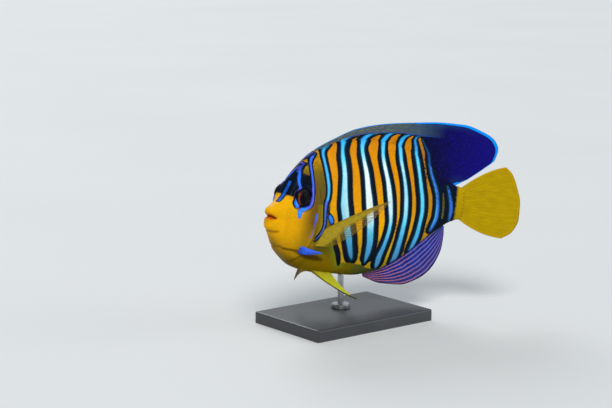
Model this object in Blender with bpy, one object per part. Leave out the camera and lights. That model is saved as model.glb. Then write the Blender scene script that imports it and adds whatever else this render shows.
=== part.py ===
"""Regal angelfish: a still, life-size display model on a plain stand.

Metres, Z up. The snout points to -X and the fish's left side faces -Y. Every
piece is modelled along a straight fish and then bent into the turning pose.
"""
import math

import bmesh
import bpy
import numpy as np
from mathutils import Matrix, Vector
from mathutils.bvhtree import BVHTree

# Driving sizes, in metres and degrees
STANDARD_LENGTH = 0.170
GAP = 0.00035
RIDGE = 0.0010
FIN_EDGE = 0.00026

# The turn of the body: heading of the snout and of the tail, and where it bends
HEAD_TURN = 16.0
TAIL_TURN = -30.0
BEND_START = 0.10
BEND_END = 0.95
MIDDLE = 0.45
NOSE_UP = 3.8
LEAN = 5.0

# The stand
BASE_SIZE = (0.100, 0.070, 0.008)
FISH_PLACE = (-0.003, 0.003)
BASE_BEVEL = 0.0012
FIN_CLEARANCE = 0.009
ROD_RADIUS = 0.0021
ROD_SIDES = 16
ROD_STATION = 0.50
COLLAR_RADIUS = 0.0065
COLLAR_HEIGHT = 0.0030

# Cross-sections from the mouth to the tail root, as fractions of the standard
# length: top x and z, side x and z, half width, bottom x and z
SECTIONS = (
    ("throat of the mouth", 0.040, 0.010, 0.057, 0.001, 0.013, 0.040, 0.006),
    ("inside of the lips", 0.030, 0.0150, 0.060, -0.001, 0.0195, 0.031, 0.0025),
    ("crest of the lips", 0.024, 0.0240, 0.060, -0.001, 0.0238, 0.024, -0.0065),
    ("front of the lips", 0.029, 0.0365, 0.063, 0.000, 0.0275, 0.026, -0.029),
    ("edge of the lips", 0.041, 0.0445, 0.069, -0.001, 0.0310, 0.034, -0.043),
    ("groove behind the lips", 0.048, 0.0470, 0.074, -0.002, 0.0325, 0.040, -0.0465),
    ("snout", 0.068, 0.0540, 0.086, -0.004, 0.0385, 0.054, -0.066),
    ("front of the eyes", 0.107, 0.0745, 0.112, -0.004, 0.0510, 0.079, -0.100),
    ("brow", 0.132, 0.104, 0.138, 0.002, 0.0655, 0.109, -0.139),
    ("middle of the eyes", 0.156, 0.138, 0.165, 0.004, 0.0752, 0.150, -0.174),
    ("nape", 0.206, 0.190, 0.212, -0.004, 0.0830, 0.203, -0.208),
    ("shoulder", 0.270, 0.236, 0.270, -0.016, 0.0880, 0.270, -0.234),
    ("chest", 0.350, 0.262, 0.350, -0.020, 0.0900, 0.350, -0.252),
    ("middle", 0.450, 0.279, 0.450, -0.016, 0.0880, 0.450, -0.265),
    ("belly", 0.550, 0.283, 0.550, -0.010, 0.0810, 0.550, -0.2755),
    ("vent", 0.650, 0.2745, 0.650, 0.000, 0.0700, 0.650, -0.257),
    ("flank", 0.750, 0.243, 0.750, 0.010, 0.0550, 0.750, -0.202),
    ("rear flank", 0.830, 0.197, 0.830, 0.020, 0.0400, 0.830, -0.135),
    ("tail stalk", 0.900, 0.148, 0.900, 0.030, 0.0280, 0.900, -0.073),
    ("narrowest", 0.950, 0.117, 0.950, 0.038, 0.0210, 0.950, -0.037),
    ("tail root", 0.985, 0.106, 0.985, 0.042, 0.0170, 0.985, -0.023),
)
SNOUT_ROW = 9
TAIL_ROW = 18
ROWS_AROUND = 23
HEAD_STEPS = 3
TORSO_RINGS = 26
STALK_RINGS = 7
# Roundness of the sections: the power of the sine across the back and the belly,
# and the rows between which the back fills out behind the head
BACK_POWER = (0.80, 1.25)
BACK_ROWS = (7.5, 10.5)
BELLY_POWER = 1.0
SLANT_POWER = 1.2
TURN_SPREAD = 1.15

# The gill opening, where the head meets the torso: height as an angle from the
# back to the belly in parts of a half turn, and station
GILL_EDGE = ((0.0, 0.246), (0.25, 0.249), (0.43, 0.256), (0.52, 0.251),
             (0.62, 0.232), (0.72, 0.212), (0.85, 0.176), (1.0, 0.160))
GILL_LIFT = 0.0007
GILL_FLAP = 0.030
GILL_SPAN = (0.36, 0.86)
GILL_EASE = 0.08

EYE_STATION = 0.171
EYE_HEIGHT = 0.076
EYE_RADIUS = 0.0066
EYE_DEPTH = 0.0042
EYE_BULGE = 0.0014
EYE_LEAN = (-0.13, 0.10)
NOSTRILS = ((0.118, 0.074, 0.0009), (0.126, 0.064, 0.0008))

SPINE_ROOT = (0.188, -0.136)
SPINE_LENGTH = 0.0200
SPINE_RADIUS = 0.0026
SPINE_SLOPE = (0.985, 0.15, -0.05)
SPINE_RISE = 0.0026
SPINE_SINK = 0.0008
SPINE_FLATNESS = 0.55
SPINE_TIP = 0.00028
SPINE_TAPER = 0.75
SPINE_RISING = 0.34
SPINE_BACK = 0.12
SPINE_SIDES = 8

# Dorsal fin: station at the root, and the tip's station and height
DORSAL = ((0.272, 0.290, 0.252), (0.350, 0.386, 0.286), (0.450, 0.502, 0.326), (0.560, 0.630, 0.348),
          (0.670, 0.762, 0.360), (0.750, 0.876, 0.368), (0.805, 0.962, 0.366), (0.850, 1.038, 0.345),
          (0.885, 1.094, 0.314), (0.910, 1.1145, 0.273), (0.928, 1.106, 0.2325), (0.943, 1.0625, 0.1905),
          (0.952, 1.002, 0.142))
DORSAL_SPLIT = 0.672
DORSAL_SPINES = 14
DORSAL_RAYS = 18
SPINE_NOTCH = 0.05
RAY_SWEEP = 0.10
ANAL = ((0.598, 0.606, -0.286), (0.660, 0.690, -0.313), (0.720, 0.768, -0.316), (0.780, 0.842, -0.289),
        (0.830, 0.893, -0.243), (0.870, 0.919, -0.190), (0.895, 0.930, -0.145), (0.910, 0.932, -0.100),
        (0.922, 0.929, -0.060))
ANAL_RAYS = 21
# Tail fin: place along the tail root from top to bottom, and the tip
CAUDAL = ((0.0, 1.158, 0.207), (0.12, 1.186, 0.182), (0.30, 1.214, 0.128), (0.50, 1.236, 0.060),
          (0.70, 1.239, -0.005), (0.88, 1.216, -0.064), (1.0, 1.176, -0.092))
CAUDAL_RAYS = 17
CAUDAL_BOW = 0.016

# Paired fins: the root's two ends as stations and turns round the body, then the
# first and last ray as directions and lengths in parts of the standard length
PECTORAL_ROOT = ((0.300, 0.545), (0.255, 0.662))
PECTORAL_FIRST = ((0.672, 0.58, 0.460), 0.313)
PECTORAL_LAST = ((0.90, 0.42, -0.09), 0.072)
PECTORAL_RAYS = 16
PECTORAL_ARCH = 0.025
PECTORAL_REACH = 1.45
FAR_PECTORAL_FIRST = ((0.78, 0.52, 0.35), 0.313)
PELVIC_ROOT = ((0.300, 0.905), (0.425, 0.925))
PELVIC_FIRST = ((0.76, 0.50, -0.41), 0.245)
PELVIC_LAST = ((0.72, 0.22, -0.65), 0.135)
PELVIC_RAYS = 6
PELVIC_REACH = 1.2
PELVIC_ARCH = -0.055
FAR_PELVIC_FIRST = ((0.53, 0.68, -0.48), 0.230)
FAR_PELVIC_LAST = ((0.75, 0.60, -0.25), 0.060)
FAR_PELVIC_REACH = 7.0
ROOT_LIFT = 0.0007
# Half thickness of the fins at the root of a ray and of the web, and at a ray's tip
MEDIAN_THICK = (0.00095, 0.00070, 0.00042)
CAUDAL_THICK = (0.0015, 0.0012, 0.00042)
PAIRED_THICK = (0.00085, 0.00060, 0.00038)
THINNING = 1.4


def curve_through(xs, ys):
    """Return a smooth function through the points that never overshoots them."""
    xs = np.asarray(xs, float)
    ys = np.asarray(ys, float)
    step = np.diff(xs)
    slope = np.diff(ys) / step
    tangent = np.zeros_like(xs)
    tangent[0] = slope[0]
    tangent[-1] = slope[-1]
    for i in range(1, len(xs) - 1):
        if slope[i - 1] * slope[i] > 0:
            first = 2 * step[i] + step[i - 1]
            second = step[i] + 2 * step[i - 1]
            tangent[i] = (first + second) / (first / slope[i - 1] + second / slope[i])

    def value(x):
        x = np.clip(np.asarray(x, float), xs[0], xs[-1])
        i = np.clip(np.searchsorted(xs, x, side="right") - 1, 0, len(step) - 1)
        t = (x - xs[i]) / step[i]
        left = (1 + 2 * t) * (1 - t) ** 2 * ys[i] + t * t * (3 - 2 * t) * ys[i + 1]
        return left + step[i] * (t * (1 - t) ** 2 * tangent[i] + t * t * (t - 1) * tangent[i + 1])

    return value


ROW = np.arange(len(SECTIONS))
COLUMNS = [curve_through(ROW, [section[k] for section in SECTIONS]) for k in range(1, 8)]
TOP_X, TOP_Z, SIDE_X, SIDE_Z, HALF_WIDTH, LOW_X, LOW_Z = COLUMNS
gill_station = curve_through([p[0] for p in GILL_EDGE], [p[1] for p in GILL_EDGE])
FINE_ROWS = np.linspace(0, len(SECTIONS) - 1, 801)


def smooth_step(t):
    """Ease from 0 to 1 as t goes from 0 to 1."""
    t = np.clip(t, 0.0, 1.0)
    return t * t * (3 - 2 * t)


def skin(row, turn):
    """Return x, half width and z of the skin; turn is 0 on the back and 1 on the belly."""
    angle = np.pi * np.asarray(turn, float)
    up = np.cos(angle)
    above = up > 0
    top_x, top_z, low_x, low_z = TOP_X(row), TOP_Z(row), LOW_X(row), LOW_Z(row)
    side_x, side_z, width = SIDE_X(row), SIDE_Z(row), HALF_WIDTH(row)
    lift = np.abs(up)
    x = side_x + (np.where(above, top_x, low_x) - side_x) * lift ** SLANT_POWER
    z = side_z + np.where(above, top_z - side_z, side_z - low_z) * up
    ridge = RIDGE / STANDARD_LENGTH
    fill = smooth_step((row - BACK_ROWS[0]) / (BACK_ROWS[1] - BACK_ROWS[0]))
    back = BACK_POWER[0] + (BACK_POWER[1] - BACK_POWER[0]) * fill
    power = np.where(above, back, BELLY_POWER)
    y = ridge + (width - ridge) * np.abs(np.sin(angle)) ** power
    return x, y, z


def row_at(station, turn):
    """Return the row of the skin that lies at a station, behind the lips."""
    rows = FINE_ROWS[FINE_ROWS >= 2.0]
    x, _, _ = skin(rows, np.full_like(rows, turn))
    return float(np.interp(station, x, rows))


def top_height(station):
    """Return the height of the back at a station of the torso."""
    return float(np.interp(station, TOP_X(FINE_ROWS), TOP_Z(FINE_ROWS)))


def low_height(station):
    """Return the height of the belly at a station of the torso."""
    return float(np.interp(station, LOW_X(FINE_ROWS), LOW_Z(FINE_ROWS)))


def make_midline():
    """Return heading, x and y along the bent midline, in standard lengths."""
    stations = np.linspace(-0.1, 1.5, 801)
    ease = smooth_step((stations - BEND_START) / (BEND_END - BEND_START))
    heading = np.radians(HEAD_TURN + (TAIL_TURN - HEAD_TURN) * ease)
    step = stations[1] - stations[0]
    along = np.cumsum(np.append(0.0, (np.cos(heading[1:]) + np.cos(heading[:-1])) / 2 * step))
    across = np.cumsum(np.append(0.0, (np.sin(heading[1:]) + np.sin(heading[:-1])) / 2 * step))
    along -= np.interp(MIDDLE, stations, along)
    across -= np.interp(MIDDLE, stations, across)
    return stations, heading, along, across


MIDLINE = make_midline()
ATTITUDE = Matrix.Rotation(math.radians(NOSE_UP), 3, "Y") @ Matrix.Rotation(math.radians(LEAN), 3, "X")


def bend(point):
    """Move a point of the straight fish, in metres, into the turning pose."""
    stations, heading, along, across = MIDLINE
    station = point[0] / STANDARD_LENGTH
    angle = float(np.interp(station, stations, heading))
    x = float(np.interp(station, stations, along)) * STANDARD_LENGTH - point[1] * math.sin(angle)
    y = float(np.interp(station, stations, across)) * STANDARD_LENGTH + point[1] * math.cos(angle)
    return ATTITUDE @ Vector((x, y, point[2]))


def material(name, colour, roughness, metallic=0.0):
    """Make a Principled material."""
    made = bpy.data.materials.new(name)
    made.use_nodes = True
    shader = made.node_tree.nodes["Principled BSDF"]
    shader.inputs["Base Color"].default_value = (*colour, 1.0)
    shader.inputs["Roughness"].default_value = roughness
    shader.inputs["Metallic"].default_value = metallic
    return made


def add_object(name, mesh, finish):
    """Link a mesh as a named object with its finish, shaded smooth."""
    thing = bpy.data.objects.new(name, mesh)
    bpy.context.scene.collection.objects.link(thing)
    mesh.materials.clear()
    mesh.materials.append(finish)
    mesh.shade_smooth()
    mesh.set_sharp_from_angle(angle=math.radians(50))
    return thing


def mesh_from(name, points, faces):
    """Make a closed mesh with its faces outward."""
    shape = bmesh.new()
    corners = [shape.verts.new(point) for point in points]
    for face in faces:
        shape.faces.new([corners[i] for i in face])
    bmesh.ops.remove_doubles(shape, verts=shape.verts, dist=1e-7)
    bmesh.ops.recalc_face_normals(shape, faces=shape.faces)
    mesh = bpy.data.meshes.new(name)
    shape.to_mesh(mesh)
    shape.free()
    return mesh


def loft(name, rings):
    """Join left and right half rings into one closed body with laddered ends.

    rings[i][k] is a point on the right side; the left side mirrors it.
    """
    count = len(rings[0])
    points = []
    for ring in rings:
        points += [(x, y, z) for x, y, z in ring]
        points += [(x, -y, z) for x, y, z in ring]
    faces = []
    width = 2 * count
    for i in range(len(rings) - 1):
        here, there = i * width, (i + 1) * width
        for k in range(count - 1):
            faces.append((here + k, here + k + 1, there + k + 1))
            faces.append((here + k, there + k + 1, there + k))
            left, far = here + count + k, there + count + k
            faces.append((left, far + 1, left + 1))
            faces.append((left, far, far + 1))
        for k in (0, count - 1):
            faces.append((here + k, here + count + k, there + count + k))
            faces.append((here + k, there + count + k, there + k))
    for base in (0, (len(rings) - 1) * width):
        for k in range(count - 1):
            faces.append((base + k, base + k + 1, base + count + k + 1))
            faces.append((base + k, base + count + k + 1, base + count + k))
    return mesh_from(name, points, faces)


def body_turns():
    """Return the turns round one side, closer together at the mouth's level."""
    even = np.linspace(-1.0, 1.0, ROWS_AROUND)
    return 0.5 + 0.5 * np.sign(even) * np.abs(even) ** TURN_SPREAD


def body_ring(row_of, lift_of=None):
    """Return one half ring, with the skin row chosen for each turn."""
    ring = []
    for turn in body_turns():
        x, y, z = skin(row_of(turn), turn)
        lift = lift_of(turn) if lift_of else 0.0
        ring.append((x * STANDARD_LENGTH, y * STANDARD_LENGTH + lift, z * STANDARD_LENGTH))
    return ring


def gill_raise(turn, station):
    """Return how far the gill cover's free edge stands off the body."""
    low, high = GILL_SPAN
    inside = smooth_step((turn - low) / GILL_EASE) * smooth_step((high - turn) / GILL_EASE)
    near = smooth_step((station - float(gill_station(turn)) + GILL_FLAP) / GILL_FLAP)
    return GILL_LIFT * float(inside) * float(near)


def head_mesh():
    """Loft the head from inside the mouth to the gill cover's edge."""
    rings = []
    for row in np.linspace(0.0, SNOUT_ROW, SNOUT_ROW * HEAD_STEPS + 1):
        rings.append(body_ring(lambda turn, row=row: row))
    steps = 3 * HEAD_STEPS
    for step in range(1, steps + 1):
        part = step / steps

        def row_of(turn, part=part):
            edge = row_at(float(gill_station(turn)), turn)
            return SNOUT_ROW + (edge - SNOUT_ROW) * part

        def lift_of(turn, row_of=row_of):
            station = float(skin(row_of(turn), turn)[0])
            return gill_raise(turn, station)

        rings.append(body_ring(row_of, lift_of))
    return loft("head", rings)


def torso_mesh():
    """Loft the torso from the gill opening to the tail stalk."""
    gap = GAP / STANDARD_LENGTH
    rings = []
    for step in range(TORSO_RINGS):
        part = step / (TORSO_RINGS - 1)

        def row_of(turn, part=part):
            start = row_at(float(gill_station(turn)) + gap, turn)
            return start + (TAIL_ROW - start) * part

        rings.append(body_ring(row_of))
    return loft("torso", rings)


def stalk_mesh():
    """Loft the tail stalk from the torso to the tail root."""
    gap = GAP / STANDARD_LENGTH
    start = row_at(SECTIONS[TAIL_ROW][1] + gap, 0.5)
    rings = []
    for row in np.linspace(start, len(SECTIONS) - 1, STALK_RINGS):
        rings.append(body_ring(lambda turn, row=row: row))
    return loft("tail_stalk", rings)


def ellipsoid(name, centre, axis, radius, depth, segments, rings):
    """Make a flattened ball whose short axis points along axis."""
    shape = bmesh.new()
    bmesh.ops.create_uvsphere(shape, u_segments=segments, v_segments=rings, radius=1.0)
    turn = Vector((0, 0, 1)).rotation_difference(Vector(axis)).to_matrix().to_4x4()
    size = Matrix.Diagonal((radius, radius, depth, 1.0))
    bmesh.ops.transform(shape, matrix=Matrix.Translation(centre) @ turn @ size, verts=shape.verts)
    mesh = bpy.data.meshes.new(name)
    shape.to_mesh(mesh)
    shape.free()
    return mesh


def surface_of(mesh):
    """Return a search tree over a mesh."""
    shape = bmesh.new()
    shape.from_mesh(mesh)
    tree = BVHTree.FromBMesh(shape)
    shape.free()
    return tree


def side_hit(tree, station, height, side):
    """Return the place and outward normal of the skin seen from one side."""
    start = Vector((station * STANDARD_LENGTH, side * 0.1, height * STANDARD_LENGTH))
    place, normal, _, _ = tree.ray_cast(start, Vector((0, -side, 0)))
    if normal.y * side < 0:
        normal = -normal
    return place, normal


def eye_frame(tree, side):
    """Return the centre and the outward axis of one eye."""
    place, _ = side_hit(tree, EYE_STATION, EYE_HEIGHT, side)
    axis = Vector((EYE_LEAN[0], side, EYE_LEAN[1])).normalized()
    return place - axis * (EYE_DEPTH - EYE_BULGE), axis


def cheek_spine(tree, side):
    """Make the backward spine at the corner of the cheek, as a bent tapered horn."""
    root, normal = side_hit(tree, SPINE_ROOT[0], SPINE_ROOT[1], side)
    along = Vector((SPINE_SLOPE[0], SPINE_SLOPE[1] * side, SPINE_SLOPE[2])).normalized()
    upright = along.cross(normal).normalized()
    outward = upright.cross(along).normalized()
    if outward.dot(normal) < 0:
        outward = -outward
    points = []
    faces = []
    steps = sides = SPINE_SIDES
    for i in range(steps):
        part = i / (steps - 1)
        radius = SPINE_RADIUS * (1.0 - part) ** SPINE_TAPER + SPINE_TIP
        centre = root - outward * SPINE_SINK + along * (SPINE_LENGTH * (part - SPINE_BACK))
        centre += outward * SPINE_RISE * float(smooth_step(part / SPINE_RISING))
        for k in range(sides):
            angle = 2 * math.pi * k / sides
            across = upright * math.cos(angle) + outward * math.sin(angle) * SPINE_FLATNESS
            points.append(centre + across * radius)
    for i in range(steps - 1):
        for k in range(sides):
            a, b = i * sides + k, i * sides + (k + 1) % sides
            faces.append((a, b, b + sides, a + sides))
    faces.append(tuple(range(sides)))
    faces.append(tuple(range((steps - 1) * sides, steps * sides)))
    return mesh_from("cheek_spine", points, faces)


def keep_largest(mesh):
    """Drop every loose scrap and keep the largest closed surface."""
    shape = bmesh.new()
    shape.from_mesh(mesh)
    bmesh.ops.triangulate(shape, faces=shape.faces)
    bmesh.ops.remove_doubles(shape, verts=shape.verts, dist=1e-6)
    left = set(shape.faces)
    groups = []
    while left:
        stack = [left.pop()]
        group = set(stack)
        while stack:
            face = stack.pop()
            for edge in face.edges:
                for other in edge.link_faces:
                    if other not in group:
                        group.add(other)
                        left.discard(other)
                        stack.append(other)
        groups.append(group)
    largest = max(groups, key=len)
    bmesh.ops.delete(shape, geom=[f for f in shape.faces if f not in largest], context="FACES")
    bmesh.ops.delete(shape, geom=[v for v in shape.verts if not v.link_faces], context="VERTS")
    bmesh.ops.recalc_face_normals(shape, faces=shape.faces)
    shape.to_mesh(mesh)
    shape.free()


def combine(thing, meshes, operation):
    """Join meshes to an object, or cut them from it, in one Boolean."""
    group = bpy.data.collections.new(thing.name + "_" + operation.lower())
    bpy.context.scene.collection.children.link(group)
    for mesh in meshes:
        group.objects.link(bpy.data.objects.new(mesh.name, mesh))
    step = thing.modifiers.new(operation, "BOOLEAN")
    step.operation = operation
    step.operand_type = "COLLECTION"
    step.collection = group
    step.solver = "EXACT"
    bpy.context.view_layer.update()
    depsgraph = bpy.context.evaluated_depsgraph_get()
    result = bpy.data.meshes.new_from_object(thing.evaluated_get(depsgraph))
    thing.modifiers.clear()
    thing.data = result
    for piece in list(group.objects):
        bpy.data.objects.remove(piece)
    bpy.data.collections.remove(group)
    keep_largest(thing.data)


def fin_mesh(name, rays, rows, place, across, thickness, seat=None):
    """Make a thin fin whose rays stand out as ridges on both faces.

    place(s, t) is the middle of the membrane, across(s, t) its side direction
    and thickness(t, ray) the half thickness; seat moves a root corner.
    """
    columns = 2 * rays
    points = []
    for side in (1, -1):
        for i in range(columns + 1):
            s = i / columns
            for j in range(rows + 1):
                t = j / rows
                point = place(s, t) + across(s, t) * side * thickness(t, i % 2)
                if seat and j == 0:
                    point = seat(point)
                points.append(point)
    faces = []
    height = rows + 1
    far = (columns + 1) * height
    for i in range(columns):
        for j in range(rows):
            a, b = i * height + j, (i + 1) * height + j
            if i % 2:
                split = ((a, b, b + 1), (a, b + 1, a + 1))
            else:
                split = ((a, b, a + 1), (b, b + 1, a + 1))
            for face in split:
                faces.append(face)
                faces.append(tuple(far + corner for corner in reversed(face)))
    rim = [(i * height, (i + 1) * height) for i in range(columns)]
    rim += [(i * height + rows, (i + 1) * height + rows) for i in range(columns)]
    rim += [(j, j + 1) for j in range(rows)]
    rim += [(columns * height + j, columns * height + j + 1) for j in range(rows)]
    for a, b in rim:
        faces.append((a, b, far + b))
        faces.append((a, far + b, far + a))
    return mesh_from(name, points, faces)


def ray_thickness(thick):
    """Return a half thickness that thins from root to tip, more at the rays."""
    root_ray, root_web, tip_ray = thick

    def value(t, is_ray):
        start, end = (root_ray, tip_ray) if is_ray else (root_web, FIN_EDGE)
        return end + (start - end) * (1 - t) ** THINNING

    return value


def sideways(s, t):
    """Return the side direction of an unpaired fin."""
    return Vector((0.0, 1.0, 0.0))


def median_fin(name, table, span, rays, rows, root_height, away, notch=0.0):
    """Make an unpaired fin on the back or belly, between two stations of its root.

    away is 1 for the back and -1 for the belly; notch draws the web in between
    the tips of the rays.
    """
    roots = [row[0] for row in table]
    tip_x = curve_through(roots, [row[1] for row in table])
    tip_z = curve_through(roots, [row[2] for row in table])
    clear = away * GAP * 1.2 / STANDARD_LENGTH

    def place(s, t):
        root = span[0] + (span[1] - span[0]) * s
        base = Vector((root, 0.0, root_height(root) + clear))
        tip = Vector((float(tip_x(root)), 0.0, float(tip_z(root))))
        is_ray = round(s * rays * 2) % 2
        reach = t if is_ray else t * (1.0 - notch * t)
        point = base.lerp(tip, reach)
        point.x += RAY_SWEEP * (tip.x - base.x) * (t * t - t)
        return point * STANDARD_LENGTH

    return fin_mesh(name, rays, rows, place, sideways, ray_thickness(MEDIAN_THICK))


def caudal_mesh():
    """Make the tail fin on the tail root."""
    places = [row[0] for row in CAUDAL]
    tip_x = curve_through(places, [row[1] for row in CAUDAL])
    tip_z = curve_through(places, [row[2] for row in CAUDAL])
    root_x = SECTIONS[-1][1] + GAP / STANDARD_LENGTH
    high = SECTIONS[-1][2] - 0.002
    low = SECTIONS[-1][7] + 0.002

    def place(s, t):
        base = Vector((root_x, 0.0, high + (low - high) * s))
        tip = Vector((float(tip_x(s)), 0.0, float(tip_z(s))))
        point = base.lerp(tip, t)
        point.z += CAUDAL_BOW * 4 * t * (1 - t) * (1 - 2 * s)
        return point * STANDARD_LENGTH

    return fin_mesh("caudal_fin", CAUDAL_RAYS, 9, place, sideways, ray_thickness(CAUDAL_THICK))


def paired_fin(name, side, root, first, last, rays, rows, bow, reach_power, tree):
    """Make a paired fin that fans out from its root on the skin."""
    start, length_start = Vector(first[0]).normalized(), first[1]
    end, length_end = Vector(last[0]).normalized(), last[1]

    def root_point(s):
        station = root[0][0] + (root[1][0] - root[0][0]) * s
        turn = root[0][1] + (root[1][1] - root[0][1]) * s
        x, y, z = skin(row_at(station, turn), turn)
        lift = ROOT_LIFT / STANDARD_LENGTH
        angle = math.pi * turn
        return Vector((x, y + lift * math.sin(angle), z + lift * math.cos(angle)))

    def direction(s):
        return start.lerp(end, s).normalized()

    def place(s, t):
        heading = direction(s)
        length = length_end + (length_start - length_end) * (1 - s) ** reach_power
        point = root_point(s) + heading * length * t
        point.z += bow * length * 4 * t * (1 - t)
        point.y *= side
        return point * STANDARD_LENGTH

    def across(s, t):
        small = 0.02
        s = min(max(s, small), 1 - small)
        t = min(max(t, small), 1 - small)
        along = place(s, t + small) - place(s, t - small)
        chord = place(s + small, t) - place(s - small, t)
        return along.cross(chord).normalized()

    def seat(point):
        hit, normal, _, _ = tree.find_nearest(point)
        return hit + normal * GAP

    return fin_mesh(name, rays, rows, place, across, ray_thickness(PAIRED_THICK), seat)


def bend_mesh(mesh):
    """Bend every corner of a straight mesh into the pose."""
    for corner in mesh.vertices:
        corner.co = bend(corner.co)
    mesh.update()


def build_fish():
    """Model every piece of the straight fish."""
    gold = (0.75, 0.42, 0.02)
    barred = (0.80, 0.36, 0.03)
    head = add_object("head", head_mesh(), material("head_skin", gold, 0.45))
    torso = torso_mesh()
    tree = surface_of(head.data)
    torso_tree = surface_of(torso)
    frames = {side: eye_frame(tree, side) for side in (-1, 1)}
    combine(head, [cheek_spine(tree, side) for side in (-1, 1)], "UNION")
    cutters = []
    for side in (-1, 1):
        centre, axis = frames[side]
        cutters.append(ellipsoid("socket", centre, axis, EYE_RADIUS + GAP, EYE_DEPTH + GAP, 28, 12))
        for station, height, radius in NOSTRILS:
            place, normal = side_hit(tree, station, height, side)
            cutters.append(ellipsoid("nostril", place, normal, radius, radius, 8, 6))
    combine(head, cutters, "DIFFERENCE")
    add_object("torso", torso, material("torso_skin", barred, 0.45))
    add_object("tail_stalk", stalk_mesh(), material("tail_stalk_skin", (0.55, 0.42, 0.03), 0.45))
    for side, letter in ((-1, "L"), (1, "R")):
        centre, axis = frames[side]
        name = "eye_" + letter
        ball = ellipsoid(name, centre, axis, EYE_RADIUS, EYE_DEPTH, 28, 12)
        add_object(name, ball, material(name + "_surface", (0.02, 0.01, 0.02), 0.08))
    fins = {
        "dorsal_fin_spiny": median_fin(
            "dorsal_fin_spiny", DORSAL, (DORSAL[0][0], DORSAL_SPLIT), DORSAL_SPINES, 6, top_height, 1,
            SPINE_NOTCH),
        "dorsal_fin_soft": median_fin(
            "dorsal_fin_soft", DORSAL, (DORSAL_SPLIT + GAP * 1.6 / STANDARD_LENGTH, DORSAL[-1][0]),
            DORSAL_RAYS, 9, top_height, 1),
        "anal_fin": median_fin(
            "anal_fin", ANAL, (ANAL[0][0], ANAL[-1][0]), ANAL_RAYS, 6, low_height, -1),
        "caudal_fin": caudal_mesh(),
    }
    colours = {"dorsal_fin_spiny": (0.25, 0.22, 0.07), "dorsal_fin_soft": (0.01, 0.0, 0.18),
               "anal_fin": (0.06, 0.06, 0.50), "caudal_fin": (0.45, 0.34, 0.0)}
    for name, mesh in fins.items():
        add_object(name, mesh, material(name + "_skin", colours[name], 0.4))
    pectorals = ((-1, "L", PECTORAL_FIRST), (1, "R", FAR_PECTORAL_FIRST))
    for side, letter, first in pectorals:
        name = "pectoral_fin_" + letter
        mesh = paired_fin(name, side, PECTORAL_ROOT, first, PECTORAL_LAST, PECTORAL_RAYS, 8,
                          PECTORAL_ARCH, PECTORAL_REACH, torso_tree)
        add_object(name, mesh, material(name + "_skin", (0.55, 0.45, 0.12), 0.4))
    pelvics = ((-1, "L", PELVIC_FIRST, PELVIC_LAST, PELVIC_REACH),
               (1, "R", FAR_PELVIC_FIRST, FAR_PELVIC_LAST, FAR_PELVIC_REACH))
    for side, letter, first, last, reach in pelvics:
        name = "pelvic_fin_" + letter
        mesh = paired_fin(name, side, PELVIC_ROOT, first, last, PELVIC_RAYS, 7, PELVIC_ARCH,
                          reach, torso_tree)
        add_object(name, mesh, material(name + "_skin", (0.55, 0.50, 0.01), 0.4))


def stand_base():
    """Make the flat base, with its underside on the floor."""
    shape = bmesh.new()
    bmesh.ops.create_cube(shape, size=1.0)
    bmesh.ops.scale(shape, vec=BASE_SIZE, verts=shape.verts)
    bmesh.ops.translate(shape, vec=(0, 0, BASE_SIZE[2] / 2), verts=shape.verts)
    edges = [edge for edge in shape.edges if max(v.co.z for v in edge.verts) > BASE_SIZE[2] / 2]
    bmesh.ops.bevel(shape, geom=edges, offset=BASE_BEVEL, segments=2, affect="EDGES", profile=0.5)
    mesh = bpy.data.meshes.new("stand_base")
    shape.to_mesh(mesh)
    shape.free()
    add_object("stand_base", mesh, material("stand_base_paint", (0.03, 0.03, 0.035), 0.4))


def stand_rod(belly):
    """Turn the rod with its collar, and fit its top to the belly."""
    sides = ROD_SIDES
    foot = bend(Vector((ROD_STATION * STANDARD_LENGTH, 0.0, low_height(ROD_STATION) * STANDARD_LENGTH)))
    foot += Vector((*FISH_PLACE, 0.0))
    floor = BASE_SIZE[2] + GAP
    profile = ((0.0, floor), (COLLAR_RADIUS, floor), (COLLAR_RADIUS, floor + COLLAR_HEIGHT * 0.7),
               (COLLAR_RADIUS * 0.9, floor + COLLAR_HEIGHT), (ROD_RADIUS, floor + COLLAR_HEIGHT))
    points = []
    faces = []

    def circle(radius, height):
        angles = [2 * math.pi * k / sides for k in range(sides)]
        return [Vector((foot.x + radius * math.cos(a), foot.y + radius * math.sin(a), height)) for a in angles]

    for radius, height in profile:
        points += circle(radius, height)
    for radius in (ROD_RADIUS, ROD_RADIUS * 0.5, 0.0):
        for start in circle(radius, floor):
            hit, _, _, _ = belly.ray_cast(start, Vector((0, 0, 1)))
            points.append(hit - Vector((0, 0, GAP)))
    for i in range(len(profile) + 2):
        for k in range(sides):
            a, b = i * sides + k, i * sides + (k + 1) % sides
            faces.append((a, b, b + sides, a + sides))
    shape = bmesh.new()
    corners = [shape.verts.new(point) for point in points]
    for face in faces:
        shape.faces.new([corners[i] for i in face])
    bmesh.ops.remove_doubles(shape, verts=shape.verts, dist=1e-6)
    bmesh.ops.triangulate(shape, faces=shape.faces)
    bmesh.ops.recalc_face_normals(shape, faces=shape.faces)
    mesh = bpy.data.meshes.new("stand_rod")
    shape.to_mesh(mesh)
    shape.free()
    add_object("stand_rod", mesh, material("stand_rod_steel", (0.6, 0.6, 0.6), 0.3, 1.0))


def main():
    """Build the fish, bend it, raise it clear of the base and add the stand."""
    for thing in list(bpy.data.objects):
        bpy.data.objects.remove(thing)
    build_fish()
    fish = list(bpy.data.objects)
    for thing in fish:
        bend_mesh(thing.data)
    lowest = min(corner.co.z for thing in fish for corner in thing.data.vertices)
    place = Vector((*FISH_PLACE, BASE_SIZE[2] + FIN_CLEARANCE - lowest))
    for thing in fish:
        thing.data.transform(Matrix.Translation(place))
    stand_base()
    stand_rod(surface_of(bpy.data.objects["torso"].data))


main()
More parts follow.
